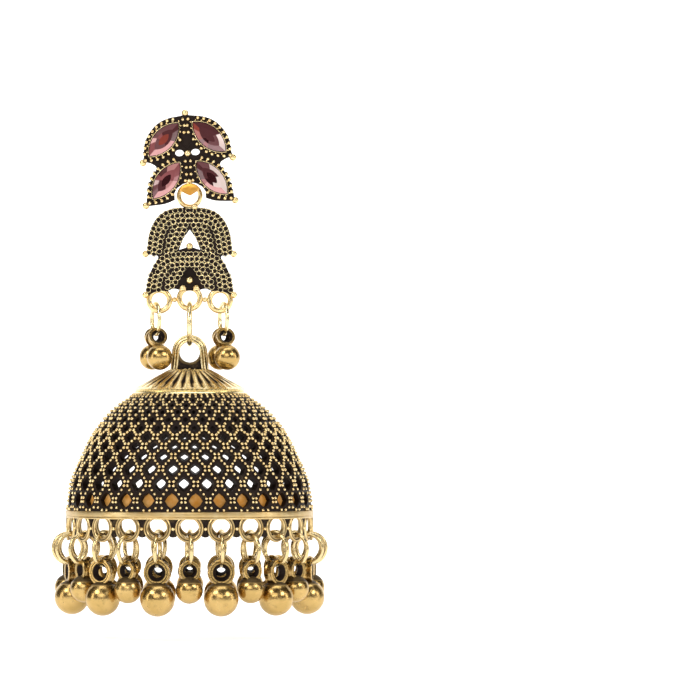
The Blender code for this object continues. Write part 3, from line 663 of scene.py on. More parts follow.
def thickened(obj, thickness):
    """Gives a sheet a wall on its inside."""
    step = obj.modifiers.new("wall", "SOLIDIFY")
    step.thickness = thickness
    step.offset = -1
    apply_modifiers(obj)


def cut_out(body, cutters):
    """Cuts the cutters out of the body and takes them away."""
    for cutter in cutters:
        cut = body.modifiers.new(cutter.name, "BOOLEAN")
        cut.operation = "DIFFERENCE"
        cut.object = cutter
        cut.solver = "EXACT"
    apply_modifiers(body)
    for cutter in cutters:
        bpy.data.objects.remove(cutter)
    smooth(body, math.radians(30))


def dressed(piece, body, nodes, finish):
    """A finished piece rides on its body, stands for its solids and takes its finish."""
    piece.data.materials.clear()
    piece.data.materials.append(finish)
    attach(piece, body)
    if nodes:
        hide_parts(*nodes)
    return piece


def mirrored(half):
    """A whole outline from its right half. Points on the middle line aren't doubled."""
    left = [(-x, z) for x, z in reversed(half) if x > 0.0]
    return list(half) + left


def doubled(half):
    """A whole profile from its upper half. Points at half height aren't doubled."""
    return list(half) + [(radius, -height) for radius, height in reversed(half) if height > 0.0]


def between_two(t, start, leave, end, arrive):
    """A place at the share t of a smooth curve from start to end, with its slopes at either end."""
    a = 2 * t**3 - 3 * t**2 + 1
    b = t**3 - 2 * t**2 + t
    c = 3 * t**2 - 2 * t**3
    d = t**3 - t**2
    return a * start + b * leave + c * end + d * arrive


def smoothed(points, steps, sharp=()):
    """More points on a smooth curve through the given ones. It keeps its corners at the sharp ones."""
    spots = [Vector(point) for point in points]
    last = len(spots) - 1
    made = []
    for i in range(last):
        one, two = spots[i], spots[i + 1]
        before = one if i in sharp or i == 0 else spots[i - 1]
        after = two if i + 1 in sharp or i + 1 == last else spots[i + 2]
        leave, arrive = (two - before) * 0.5, (after - one) * 0.5
        made += [tuple(between_two(k / steps, one, leave, two, arrive)) for k in range(steps)]
    return made + [tuple(spots[-1])]


def marquise(tips, half_width, margin=0.0, steps=16):
    """A lens outline, first along one side and then back along the other, grown by a margin."""
    first, last = (Vector(tip) for tip in tips)
    half = (last - first) / 2
    along = half.normalized()
    side = Vector((-along.y, along.x))
    reach = half.length + margin * 1.5
    width = half_width + margin
    arc = (reach**2 + width**2) / (2 * width)
    sweep = math.asin(min(1.0, reach / arc))
    points = []
    for sign in (1, -1):
        for i in range(steps):
            angle = sign * (sweep - 2 * sweep * i / steps)
            bulge = arc * math.cos(angle) - (arc - width)
            points.append((first + last) / 2 + along * arc * math.sin(angle) + side * sign * bulge)
    return points


def even_points(outline, pitch):
    """Points at an even pitch along a closed outline."""
    loop = list(outline) + [outline[0]]
    length = sum((b - a).length for a, b in zip(loop, loop[1:]))
    count = max(3, round(length / pitch))
    step = length / count
    found = []
    walked = 0.0
    for a, b in zip(loop, loop[1:]):
        span = (b - a).length
        while len(found) * step < walked + span - 1e-9 and len(found) < count:
            found.append(a.lerp(b, (len(found) * step - walked) / span))
        walked += span
    return found


def wire_round(name, points, radius, depth, sides=6):
    """A closed thin wire through (x, z) points at a depth."""
    count = len(points)
    rings = []
    for i, point in enumerate(points):
        along = (points[(i + 1) % count] - points[i - 1]).normalized()
        side = Vector((-along.y, along.x))
        for k in range(sides):
            turn = math.tau * k / sides
            flat = point + side * radius * math.cos(turn)
            rings.append((flat.x, depth + radius * math.sin(turn), flat.y))
    faces = []
    for i in range(count):
        for k in range(sides):
            a, b = i * sides + k, i * sides + (k + 1) % sides
            c, d = ((i + 1) % count) * sides + (k + 1) % sides, ((i + 1) % count) * sides + k
            faces.append((a, b, c, d))
    made = mesh_object(name, rings, faces)
    edit(made, welded)
    made.data.shade_smooth()
    return mark_oxide_and_shade(made, 0.0)


def stud_matrix():
    return Matrix.Rotation(-STUD_TURN, 4, "Y")


def on_ground(point, room):
    """Whether a bead may lie there: that far from the see-through holes and clear of the notch."""
    from_hole = (Vector((abs(point.x), point.y)) - Vector(PEEP)).length
    return from_hole > room and math.hypot(point.x, point.y + NOTCH_DOWN) >= NOTCH_REACH


def stud_grains(sizes):
    """Bead places: pairs down the spine, then a row round every leaf."""
    half = sizes.stone / 2
    found = [Vector((x * sign, z)) for x, z in SPINE_BEADS for sign in (1, -1)]
    for tips in STONE_TIPS.values():
        others = [other for other in STONE_TIPS.values() if other is not tips]
        for point in even_points(marquise(tips, half, sizes.margin), sizes.pitch):
            apart = all((point - other).length > sizes.pitch * 0.72 for other in found)
            inside = any(in_lens(point, other, half + sizes.margin * 0.6) for other in others)
            if apart and on_ground(point, 0.00085) and not inside:
                found.append(point)
    return found


def in_lens(point, tips, width):
    """Whether a point lies in the lens between two tips."""
    first, last = (Vector(tip) for tip in tips)
    along = (last - first).normalized()
    reach = (last - first).length / 2 + width * 0.3
    away = point - (first + last) / 2
    share = away.dot(along) / reach
    if abs(share) >= 1:
        return False
    across = abs(away.dot(Vector((-along.y, along.x))))
    return across < width * (1 - share**2)


class JHUMKA_OT_stud(bpy.types.Operator):
    """Builds the stud: its plate, bezels, milgrain, tip balls and tongue"""

    bl_idname = "jhumka.stud"
    bl_label = "Stud"

    def execute(self, context):
        sizes = chosen("stud")
        face = -sizes.plate
        notch = [(0.0025, -0.0092), (0.0025, -0.0081), (0.0020, -0.0073), (0.0010, -0.0067), (0.0, -0.0065)]
        room = [(0.0025, -0.0092), (0.0025, -0.0081), (0.0023, -0.0074), (0.0018, -0.0067), (0.0007, -0.0066)]
        half = smoothed(STUD_OUTLINE, 4, sharp=(7, 13))
        parts = []
        for name, edge, front, back in (
            ("stud plate", notch, face, face + 0.00028),
            ("stud back", room + [(0.0, -0.0066)], face + 0.0002, 0.0),
        ):
            ground = plate(name, mirrored(half + edge), front, back)
            self.peep_holes(ground)
            parts.append(mark_oxide_and_shade(ground, lambda p: 1.0 if p.y < face * 0.8 else 0.3))
        parts += self.hook(face)
        for tips in STONE_TIPS.values():
            parts.append(mark_oxide_and_shade(self.leaf(tips, sizes, face), 1.0))
            rim = marquise(tips, sizes.stone / 2, 0.00014)
            parts.append(mark_oxide_and_shade(wire_round("bezel lip", rim, sizes.bezel, face - 0.00026), -0.3))
        seed = grain("milgrain bead", sizes.grain, 0.8)
        spots = stud_grains(sizes)
        parts.append(scattered("milgrain", seed, [spot(p.x, face - 0.00022, p.y) for p in spots]))
        parts.append(self.teeth(sizes, face))
        parts.append(self.spine(face))
        for x, z in TIP_BALLS:
            parts.append(ball("tip ball", sizes.tip, (x, face * 0.6, z)))
        parts.append(ball("centre ball", sizes.tip * 0.92, (0, face - 0.0003, -0.00187)))
        outline = mirrored(smoothed(TONGUE_OUTLINE, 4, sharp=(3, 5)))
        tongue = plate("tongue", outline, face - 0.00075, face - 0.0001, 0.0003)
        # Painted light: the tongue's upper part is left bright as if lit from above, and its lower part is
        # darkened as painted shade.
        mark_oxide_and_shade(tongue, lambda p: 0.1 if p.z > -0.0079 else 0.45)
        parts.append(ball("tongue point", 0.00036, (0, face - 0.0004, -0.0063), 12, 8))
        small = grain("small bead", sizes.grain * 0.55, 0.5)
        between = [point for tips in STONE_TIPS.values() for point in self.between(tips, sizes)]
        parts.append(scattered("small beads", small, [spot(x, face - 0.0002, z) for x, z in between]))
        stud = joined("stud", parts)
        for piece, nodes, finish in (
            (stud, ["top_plaque"], cast_gold("stud gold")),
            (tongue, [], bead_gold("tongue gold", chosen("finishes").orange)),
        ):
            piece.data.transform(stud_matrix())
            dressed(piece, "stud", nodes, finish)
        return {"FINISHED"}

    def hook(self, face):
        """The short barrel behind the tongue that the second plaque's ring hangs in."""
        depth = PINS["plaque_swing"].y
        reach = 0.00693
        profile = ((0.00054, -0.00045), (0.00054, 0.00045), (0.00092, 0.00045), (0.00092, -0.00045))
        barrel = turned("hook", profile, steps=32)
        barrel.data.transform(spot(0, depth, -reach) @ Matrix.Rotation(math.pi / 2, 4, "Y"))
        edge = mirrored([(0.0, -0.0064), (0.00045, -0.0064), (0.00045, -0.0075), (0.0, -0.0075)])
        return [barrel, plate("hook root", edge, face - 0.0002, depth - 0.0006, 0.00005)]

    def between(self, tips, sizes):
        """Places for small beads just inside the milgrain row of a leaf, clear of the stones."""
        half = sizes.stone / 2
        row = even_points(marquise(tips, half, sizes.margin - 0.0003), sizes.pitch / 2)
        for point in row[1::2]:
            inside = any(in_lens(point, other, half + 0.0002) for other in STONE_TIPS.values())
            if on_ground(point, 0.0009) and not inside:
                yield point.x, point.y

    def leaf(self, tips, sizes, face):
        """The raised dark cup round a stone."""
        outer = [tuple(p) for p in marquise(tips, sizes.stone / 2, 0.00032)]
        return plate("leaf cup", outer, face - 0.00024, face + 0.0002, 0.00008)

    def teeth(self, sizes, face):
        """Small dark points that stick out between the beads of the outer edge."""
        deselect()
        bpy.ops.mesh.primitive_cone_add(vertices=5, radius1=0.00024, depth=0.0006)
        seed = mark_oxide_and_shade(active("tooth seed"), 0.95)
        places = []
        middle = Vector((0, -0.0028))
        for tips in STONE_TIPS.values():
            heart = (Vector(tips[0]) + Vector(tips[1])) / 2
            edge = marquise(tips, sizes.stone / 2, sizes.margin + 0.00012)
            for point in even_points(edge, sizes.pitch / 2)[1::2]:
                if abs(point.x) > 0.0033 and (point - middle).length > 0.0045:
                    out = point - heart
                    turn = Vector((out.x, 0.0, out.y)).to_track_quat("Z", "Y").to_matrix().to_4x4()
                    places.append(spot(point.x, face * 0.7, point.y) @ turn)
        return scattered("teeth", seed, places)

    def spine(self, face):
        half = [(0.0, 0.0040), (0.0006, 0.0034), (0.0009, 0.0010), (0.0007, -0.0003), (0.0, -0.0010)]
        return mark_oxide_and_shade(plate("spine", mirrored(half), face - 0.00012, face + 0.0002, 0.00008), 1.0)

    def peep_holes(self, ground):
        """The two small see-through holes beside the centre ball."""
        shape = Matrix.Diagonal((1.15, 1.0, 0.85, 1.0)) @ Matrix.Rotation(math.pi / 2, 4, "X")
        cutters = []
        for sign in (1, -1):
            deselect()
            bpy.ops.mesh.primitive_cylinder_add(vertices=16, radius=0.0006, depth=0.01)
            cutters.append(active("peep"))
            cutters[-1].data.transform(spot(sign * PEEP[0], 0, PEEP[1]) @ shape)
        cut_out(ground, cutters)


class JHUMKA_OT_stones(bpy.types.Operator):
    """Cuts the four marquise stones"""

    bl_idname = "jhumka.stones"
    bl_label = "Stones"

    def execute(self, context):
        for name, tips in STONE_TIPS.items():
            self.stone(name, tips)
        return {"FINISHED"}

    def stone(self, name, tips):
        sizes = chosen("stud")
        back = -sizes.plate + 0.0003
        half = sizes.stone / 2
        outline = marquise(tips, half, steps=8)
        middle = (Vector(tips[0]) + Vector(tips[1])) / 2
        levels = (
            (0.70, back),
            (1.00, back - 0.0004),
            (1.00, back - 0.00062),
            (0.62, back - 0.00105),
            (0.34, back - 0.00105),
        )
        points = []
        for share, depth in levels:
            for corner in outline:
                flat = middle.lerp(corner, share)
                points.append((flat.x, depth, flat.y))
        count = len(outline)
        faces = [tuple(range(count - 1, -1, -1)), tuple(range(4 * count, 5 * count))]
        tones = chosen("finishes")
        heart, ring, crown = STONE_TONES[name]
        shades = [tones.wine, getattr(tones, heart)]
        # Each facet's tone follows its direction round the stone: painted reflection and shade on the stone's
        # red.
        for level in range(4):
            words = (ring if level == 3 else crown).split()
            for i in range(count):
                k = (i + 1) % count
                a = level * count
                faces.append((a + i, a + k, a + count + k, a + count + i))
                flat = (outline[i] + outline[k]) / 2 - middle
                share = (math.atan2(flat.x, flat.y) % math.tau) / math.tau
                shades.append(getattr(tones, words[int(share * len(words)) % len(words)]))
        made = mesh_object(name + "_cut", points, faces)
        facet_tone_and_reflection = made.data.attributes.new("facet_tone_and_reflection", "FLOAT_COLOR", "CORNER")
        corner_tones = []
        for polygon in made.data.polygons:
            corner_tones.extend([(*shades[polygon.index], 1.0)] * polygon.loop_total)
        facet_tone_and_reflection.data.foreach_set("color", np.array(corner_tones).ravel())
        edit(made, lambda: bpy.ops.mesh.normals_make_consistent(inside=False))
        made.data.transform(stud_matrix())
        dressed(made, "stud", [name], crystal_with_painted_reflection(name.replace("_", " ")))


class JHUMKA_OT_post(bpy.types.Operator):
    """Finishes the pin behind the stud"""

    bl_idname = "jhumka.post"
    bl_label = "Post"

    def execute(self, context):
        profile = ((0.0, 0.0001), (0.00088, 0.0001), (0.0009, 0.0005), (0.0008, 0.0006), (0.00041, 0.0007))
        groove = ((0.0004, 0.0085), (0.00034, 0.0087), (0.00034, 0.0090), (0.0004, 0.0092))
        end = ((0.0004, 0.0108), (0.0003, 0.0110), (0.0, 0.0110))
        post = turned("pin", profile + groove + end, "Y", 24, closed=False)
        dressed(post, "stud", ["ear_post"], bead_gold("pin gold", chosen("finishes").gold))
        return {"FINISHED"}


class JHUMKA_OT_plaque(bpy.types.Operator):
    """Builds the granulated second plaque with its rings"""

    bl_idname = "jhumka.plaque"
    bl_label = "Second plaque"

    def execute(self, context):
        sizes = chosen("plaque")
        face = -sizes.plate / 2
        half = [(x, -z) for x, z in PLAQUE_OUTLINE]
        outline = mirrored(smoothed(half, 3, sharp=(8, 14)))
        body = plate("plaque plate", outline, face, -face, 0.00012)
        self.open_eye(body, face)
        mark_oxide_and_shade(body, lambda p: 1.0 if p.y < face + 0.00052 else 0.3)
        parts = [body]
        parts += self.grains(sizes, face)
        for x, z, depth in (
            (0.00705, -0.01102, face * 0.5),
            (0.00705, -0.01758, face * 0.5),
            (-0.00705, -0.01102, face * 0.5),
            (-0.00705, -0.01758, face * 0.5),
            (0.0, -0.00978, face),
            (0.0, -0.01522, face - 0.0003),
            (0.00107, -0.01651, face - 0.0003),
            (-0.00107, -0.01651, face - 0.0003),
        ):
            parts.append(ball("plaque ball", 0.00055, (x, depth, z)))
        parts += self.rings(sizes)
        plaque = joined("plaque", parts)
        plaque.data.transform(Matrix.Translation(PINS["plaque_swing"]))
        dressed(plaque, "plaque", ["middle_plaque"], cast_gold("plaque gold"))
        return {"FINISHED"}

    def open_eye(self, body, face):
        """The arrowhead opening and the dark recess under it."""
        eye = plate("eye", mirrored([(x, -z) for x, z in EYE_OUTLINE]), 4 * face, -4 * face, 0.0)
        recess_outline = mirrored([(0.0, -0.0129), (0.0014, -0.0147), (0.0, -0.0147)])
        recess = plate("recess", recess_outline, 4 * face, face + 0.0005, 0.0)
        cut_out(body, (eye, recess))

    def kept(self, point):
        """Whether a cell there lies on the right half of the plaque, clear of its openings."""
        across, down = point.x, -point.y
        off_field = across < 0.0002 or not 0.0040 <= down <= 0.0170
        in_eye = 0.0068 < down < 0.0107 and across < 0.00045 + (down - 0.0071) * 0.53
        in_recess = 0.0126 < down < 0.0151 and across < 0.0003 + (down - 0.0126) * 0.6
        under_balls = down >= 0.0151 and across < 0.0017
        side = PLAQUE_OUTLINE[:15]
        reach = np.interp(down, [z for _, z in side], [x for x, _ in side])
        return not (off_field or in_eye or in_recess or under_balls) and across < reach - 0.00024

    def cells(self, sizes):
        """Grain places on the right half, in rows along each leaf's outer edge, then its inner edge."""
        found = []
        for path, inward, rows in PLAQUE_ROWS:
            spots = [Vector(point) for point in smoothed(path, 40)]
            for number in range(rows):
                away = sizes.pitch * (number + 0.42)
                line = []
                for a, b in zip(spots, spots[1:]):
                    along = (b - a).normalized()
                    line.append(a + Vector((along.y, -along.x)) * inward * away)
                for point in line[(number % 2) * 9 :]:
                    near = min((point - other).length for other in found) if found else 1.0
                    if near > sizes.pitch * 0.93 and self.kept(point):
                        found.append(point.copy())
        return found

    def grains(self, sizes, face):
        right = self.cells(sizes)
        cells = right + [Vector((-point.x, point.y)) for point in right]
        dark = [spot(point.x, face + 0.00002, point.y) for point in cells]
        seed = mark_oxide_and_shade(grain("grain seed", sizes.grain), 1.0)
        ring = mark_oxide_and_shade(torus("collar seed", sizes.pitch * 0.48, 0.00006, None, 10, 4), -1.0)
        collars = [spot(point.x, face - 0.00008, point.y) for point in cells]
        prong = mark_oxide_and_shade(grain("prong seed", sizes.prong * 1.15), -1.0)
        bright = []
        triangles = delaunay_2d_cdt(cells, [], [], 0, 1e-7)[2]
        for a, b, c in triangles:
            middle = (cells[a] + cells[b] + cells[c]) / 3
            reach = max((cells[k] - middle).length for k in (a, b, c))
            apart = min(((middle - other).length for other in bright), default=1.0)
            if reach < sizes.pitch * 0.85 and apart > sizes.pitch * 0.62:
                bright.append(middle)
        prongs = [spot(point.x, face - 0.00016, point.y) for point in bright]
        return [
            scattered("dark grains", seed, dark),
            scattered("net", ring, collars),
            scattered("prongs", prong, prongs),
        ]

    def rings(self, sizes):
        top = torus("top ring", sizes.top_ring, sizes.top_wire, Matrix.Translation((0, 0, -sizes.top_ring)))
        parts = [top]
        low = -0.01794 - sizes.ring_wire * 0.35
        for number, step in ((-1, 0.00035), (0, 0.0), (1, 0.00035)):
            centre = Matrix.Translation((number * sizes.spacing, 0, low - step))
            parts.append(torus("bottom ring", sizes.ring, sizes.ring_wire * 0.82, centre, 48, 14))
        for sign in (1, -1):
            parts.append(ball("ring bridge", 0.00042, (sign * sizes.spacing / 2, 0, low - 0.0002), 16, 10))
        parts.append(ball("hook ball", 0.00052, (0.0008, -0.0004, -0.00345), 20, 12))
        return parts


class JHUMKA_OT_links(bpy.types.Operator):
    """Bends the centre link and the two side links"""

    bl_idname = "jhumka.links"
    bl_label = "Links"

    def execute(self, context):
        finish = bead_gold("link gold", chosen("finishes").pale)
        low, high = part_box("centre_link")
        radius = (high.z - low.z) / 2 - 0.00035
        edge_on = Matrix.Rotation(math.pi / 2, 4, "Z")
        link = torus("link_centre", radius, 0.0004, spot(*middle_of("centre_link")) @ edge_on, 56)
        mark_oxide_and_shade(link, -0.4)
        dressed(link, "link", ["centre_link"], finish)
        sizes = chosen("fringe")
        for side in ("left", "right"):
            turn = Matrix.Rotation(sizes.side_turn, 4, "Z") @ edge_on
            matrix = spot(*middle_of(f"side_link_{side}")) @ turn
            ring = mark_oxide_and_shade(torus(f"link_{side}", sizes.side_link, 0.00034, matrix, 48), -0.4)
            dressed(ring, "plaque", [f"side_link_{side}"], finish)
        return {"FINISHED"}


def tube_loop(name, hole, wall, length):
    """A short tube about Y with a double lip at either end, dark inside with painted shade."""
    reach = length / 2
    crest = hole + wall
    end = [
        (hole, reach - wall * 0.15),
        (hole + wall * 0.15, reach),
        (hole + wall * 0.38, reach),
        (hole + wall * 0.48, reach - wall * 0.22),
        (hole + wall * 0.58, reach),
        (crest - wall * 0.12, reach),
        (crest, reach - wall * 0.12),
        (crest, reach * 0.55),
        (crest - wall * 0.1, reach * 0.42),
    ]
    profile = [(hole * 0.6, 0.0), (hole * 0.86, reach * 0.6)] + end
    made = turned(name, doubled(profile), "Y", 32)
    return mark_oxide_and_shade(made, lambda p: tube_shade(p, hole, wall, reach))


def tube_shade(point, hole, wall, reach):
    away = math.hypot(point.x, point.z)
    # Painted shade inside the hole; the groove between the lips is blackened patina.
    if away < hole + wall * 0.08:
        return 1.0
    in_groove = abs(away - hole - wall * 0.48) < wall * 0.06 and abs(point.y) < reach
    return 0.8 if in_groove else 0.0


def hung_bead(name, bead, hole, wall, length, drop):
    """A ball under its tube loop. The origin is the hole's centre and the tube lies along Y."""
    lump = ball(name, bead, (0, 0, -drop), 36, 20)
    # Painted shade: the top of the ball, inside and under the loop, is darkened.
    mark_oxide_and_shade(lump, lambda p: 0.85 if p.z > -hole - wall * 1.05 else 0.0)
    return joined(name, [lump, tube_loop(name + " loop", hole, wall, length)])


class JHUMKA_OT_side_beads(bpy.types.Operator):
    """Hangs two beads on either side link"""

    bl_idname = "jhumka.side_beads"
    bl_label = "Side beads"

    def execute(self, context):
        sizes = chosen("fringe")
        hole, wall, length, drop = 0.0011, 0.0004, 0.0011, 0.00345
        model = hung_bead("side bead model", sizes.side_bead, hole, wall, length, drop)
        finish = bead_gold("side bead gold", chosen("finishes").amber)
        for side in ("left", "right"):
            centre = middle_of(f"side_link_{side}")
            for where, lean in (("front", -sizes.spread), ("back", sizes.spread)):
                turned_by = Matrix.Rotation(sizes.side_turn, 4, "Z") @ Matrix.Rotation(lean, 4, "X")
                reach = sizes.side_link + hole - 0.0003 - 0.0001
                place = Matrix.Translation(centre) @ turned_by @ Matrix.Translation((0, 0, -reach))
                piece = copied(model, f"bead_{side}_{where}", place)
                dressed(piece, "plaque", [f"side_bead_{side}_{where}"], finish)
        bpy.data.objects.remove(model)
        return {"FINISHED"}


def copied(model, name, matrix):
    """A copy with its own mesh, placed by a matrix."""
    made = model.copy()
    made.data = model.data.copy()
    made.name = name
    bpy.context.scene.collection.objects.link(made)
    made.data.transform(matrix)
    return made


def bell_radius(share):
    """The bell's radius on a smooth curve through its profile."""
    shares = [row[0] for row in BELL_PROFILE]
    radii = [row[1] for row in BELL_PROFILE]
    share = min(max(share, 0.0), 1.0)
    index = max(i for i in range(len(shares) - 1) if shares[i] <= share)
    slopes = []
    for i in range(len(shares)):
        a, b = max(0, i - 1), min(len(shares) - 1, i + 1)
        slopes.append((radii[b] - radii[a]) / (shares[b] - shares[a]))
    span = shares[index + 1] - shares[index]
    t = (share - shares[index]) / span
    return between_two(t, radii[index], span * slopes[index], radii[index + 1], span * slopes[index + 1])


def on_bell(angle, share, lift=0.0):
    """A point on the bell's outside, from its axis, and the outward direction there."""
    sizes = chosen("bell")
    radius = bell_radius(share)
    slope = (bell_radius(share + 0.01) - bell_radius(share - 0.01)) / (0.02 * sizes.height)
    normal = Vector((math.sin(angle), -math.cos(angle), slope)).normalized()
    z = sizes.shoulder - share * sizes.height
    return Vector((radius * math.sin(angle), -radius * math.cos(angle), z)) + normal * lift, normal


def facing(point, normal, scale):
    """A matrix that sets a seed shape's -Y along the normal."""
    turn = (-normal).to_track_quat("Y", "Z").to_matrix().to_4x4()
    return Matrix.Translation(point) @ turn @ Matrix.Scale(scale, 4)


class JHUMKA_OT_bell(bpy.types.Operator):
    """Builds the bell: pierced wall, milgrain, crown, bail, rim and rim loops"""

    bl_idname = "jhumka.bell"
    bl_label = "Bell"

    def execute(self, context):
        finish = cast_gold("bell gold")
        shell = joined("bell", [self.wall(), self.crown(), self.bands(), self.bail()])
        for piece, nodes, gold in (
            (shell, ["dome"], finish),
            (self.lining(), [], lining_gold_with_painted_glow("lining gold")),
            (self.milgrain(), [], finish),
            (self.loops(), [], finish),
        ):
            piece.data.transform(bell_axis())
            dressed(piece, "bell", nodes, gold)
        return {"FINISHED"}

    def rows(self):
        """Each row's middle, its reach up and down, half width, phase and strut beads."""
        pitch = math.tau / chosen("bell").cells
        middles = [row[0] for row in BELL_ROWS]
        found = []
        for j, (middle, tall, wide, beads) in enumerate(BELL_ROWS):
            below = middles[j - 1] if j else 2 * middles[0] - middles[1]
            above = middles[j + 1] if j + 1 < len(BELL_ROWS) else 2 * middle - below
            phase = chosen("bell").phase + (pitch / 2 if j % 2 else 0.0)
            found.append(
                {
                    "middle": middle,
                    "up": (middle - above) * tall / 2,
                    "down": (below - middle) * tall / 2,
                    "half": pitch * wide / 2,
                    "phase": phase,
                    "beads": beads,
                }
            )
        return found, pitch

    def wall(self):
        """The wall with its staggered, rounded diamond gaps cut through."""
        rows, pitch = self.rows()
        cells = chosen("bell").cells
        points = []
        faces = []

        def vertex(angle, share):
            points.append(on_bell(angle, share)[0])
            return len(points) - 1

        def side(gap, names):
            return tuple(gap[name] for name in names.split())

        bulge = 0.60
        corners = {
            "left": (-1, 0),
            "right": (1, 0),
            "top": (0, -1),
            "foot": (0, 1),
            "top_left": (-bulge, -bulge),
            "top_right": (bulge, -bulge),
            "foot_left": (-bulge, bulge),
            "foot_right": (bulge, bulge),
        }
        gaps = []
        for row in rows:
            line = []
            for i in range(cells):
                gap = {}
                for name, (across, down) in corners.items():
                    tall = row["up"] if down < 0 else row["down"]
                    angle = row["phase"] + i * pitch + row["half"] * across
                    gap[name] = vertex(angle, row["middle"] + tall * down)
                line.append(gap)
            gaps.append(line)

        last = len(rows) - 1
        high = [vertex(rows[-1]["phase"] + i * pitch / 2, 0.0) for i in range(2 * cells)]
        low = [vertex(rows[0]["phase"] + i * pitch / 2, 1.0) for i in range(2 * cells)]
        for j in range(last + 1):
            shift = j % 2
            for i in range(cells):
                here, after = gaps[j][i], gaps[j][(i + 1) % cells]
                rising, falling = side(here, "top top_right right"), side(after, "left top_left top")
                if j < last:
                    upper = gaps[j + 1][(i + shift) % cells]
                    over = upper["foot"]
                    faces.append(rising + side(upper, "foot foot_left left"))
                    faces.append(falling + side(upper, "right foot_right foot"))
                else:
                    over = high[2 * i + 1]
                    faces.append(rising + (over, high[2 * i]))
                    faces.append(falling + (high[(2 * i + 2) % len(high)], over))
                if j:
                    under = gaps[j - 1][(i + shift) % cells]["top"]
                else:
                    under = low[2 * i + 1]
                    faces.append(side(here, "right foot_right foot") + (low[2 * i], under))
                    faces.append(side(after, "foot foot_left left") + (under, low[(2 * i + 2) % len(low)]))
                faces.append((here["right"], under, after["left"], over))
        made = mesh_object("pierced wall", points, faces)
        edit(made, welded)
        thickened(made, chosen("bell").wall)
        smooth(made, math.radians(45))
        return mark_oxide_and_shade(made, 0.93)

    def lining(self):
        """The plain gold band inside the wall, behind the lowest row."""
        sizes = chosen("bell")
        foot = sizes.shoulder - sizes.height - sizes.rim_height
        top = sizes.shoulder - LINING_SHARE * sizes.height
        inside = [(LINING_FOOT, foot), (LINING_TOP, top)]
        outside = [(radius + LINING_WALL, height) for radius, height in inside]
        return turned("bell_lining", (inside[0], *outside, inside[1]), steps=96)

    def milgrain(self):
        sizes = chosen("bell")
        rows, pitch = self.rows()
        places = []

        def bead(angle, share, scale):
            point, normal = on_bell(angle, share, sizes.grain * 0.35 * scale)
            places.append(facing(point, normal, scale))

        for j, row in enumerate(rows):
            radius = bell_radius(row["middle"])
            room = pitch * radius * (1 - 2 * row["half"] / pitch)
            scale = min(1.0, max(0.7, room / FULL_STRUT))
            step = sizes.grain * 1.22 * scale
            across = step / radius
            slope = (bell_radius(row["middle"] + 0.01) - radius) / (0.01 * sizes.height)
            rise = step / sizes.height / math.hypot(1.0, slope)
            tight = j > 6
            for i in range(sizes.cells):
                middle = row["phase"] + (i + 0.5) * pitch
                for side in (-1, 1):
                    if tight:
                        bead(middle + side * across * 0.9, row["middle"], scale)
                        continue
                    for tall in (-1, 1):
                        bead(middle + side * across, row["middle"] + tall * rise, scale)
                if j + 1 < len(rows):
                    above = rows[j + 1]
                    for number in range(row["beads"]):
                        part = (number + 1) / (row["beads"] + 1)
                        part = 0.5 + (part - 0.5) * 0.75
                        share = row["middle"] + (above["middle"] - row["middle"]) * part
                        for side in (-1, 1):
                            bead(middle + side * pitch / 2 * part, share, scale * 0.92)
            for i in range(2 * sizes.cells if j + 1 == len(rows) else 0):
                for share in (0.036, 0.052):
                    bead(row["phase"] + (i + 0.5) * pitch / 2, share, 0.8)
        for i in range(sizes.cells):
            for side in (-1, 1):
                bead(rows[0]["phase"] + i * pitch + side * PAIR_TURN, 0.982, 0.85)
                bead(rows[0]["phase"] + (i + 0.5) * pitch + side * PAIR_TURN, 0.962, 0.85)
        seed = grain("bell grain", sizes.grain, 1.0)
        return scattered("bell_milgrain", seed, places)

    def crown(self):
        """The fluted cone: bright flutes and narrow dark slots, one for each cell."""
        sizes = chosen("bell")
        fine = 12
        count = sizes.cells * fine
        steps_down = 14
        top = sizes.shoulder + sizes.crown
        points = []
        for row in range(steps_down + 1):
            share = row / steps_down
            radius = sizes.neck + (CROWN_FOOT - sizes.neck) * share
            z = top - (sizes.crown + 0.0001) * share
            for i in range(count):
                angle = sizes.phase + math.tau * (i - fine / 2) / count
                slot = self.slot(i % fine / fine, share)
                reach = radius - slot * 0.00025
                points.append((reach * math.sin(angle), -reach * math.cos(angle), z - slot * 0.00045))
        faces = []
        for row in range(steps_down):
            for i in range(count):
                k = (i + 1) % count
                a, b = row * count, (row + 1) * count
                faces.append((a + i, a + k, b + k, b + i))
        made = mesh_object("crown", points, faces)
        edit(made, lambda: bpy.ops.mesh.normals_make_consistent(inside=False))
        thickened(made, 0.0005)
        smooth(made, math.radians(60))

        def shade(point):
            radius = math.hypot(point.x, point.y)
            share = (radius - sizes.neck) / (CROWN_FOOT - sizes.neck)
            turn = (math.atan2(point.x, -point.y) - sizes.phase) / (math.tau / sizes.cells) + 0.5
            return self.slot(turn % 1.0, share) * 1.6 - 0.5

        return mark_oxide_and_shade(made, shade)

    def slot(self, part, share):
        """How deep a slot of the crown is, 0 to 1, at a part of the cell and a share of the way down."""
        ends = min(1.0, max(0.0, (share - 0.04) / 0.06)) * min(1.0, max(0.0, (0.92 - share) / 0.06))
        wide = 0.25 - 0.05 * share
        return min(1.0, max(0.0, (wide + 0.05 - abs(part - 0.5)) / 0.08)) * ends

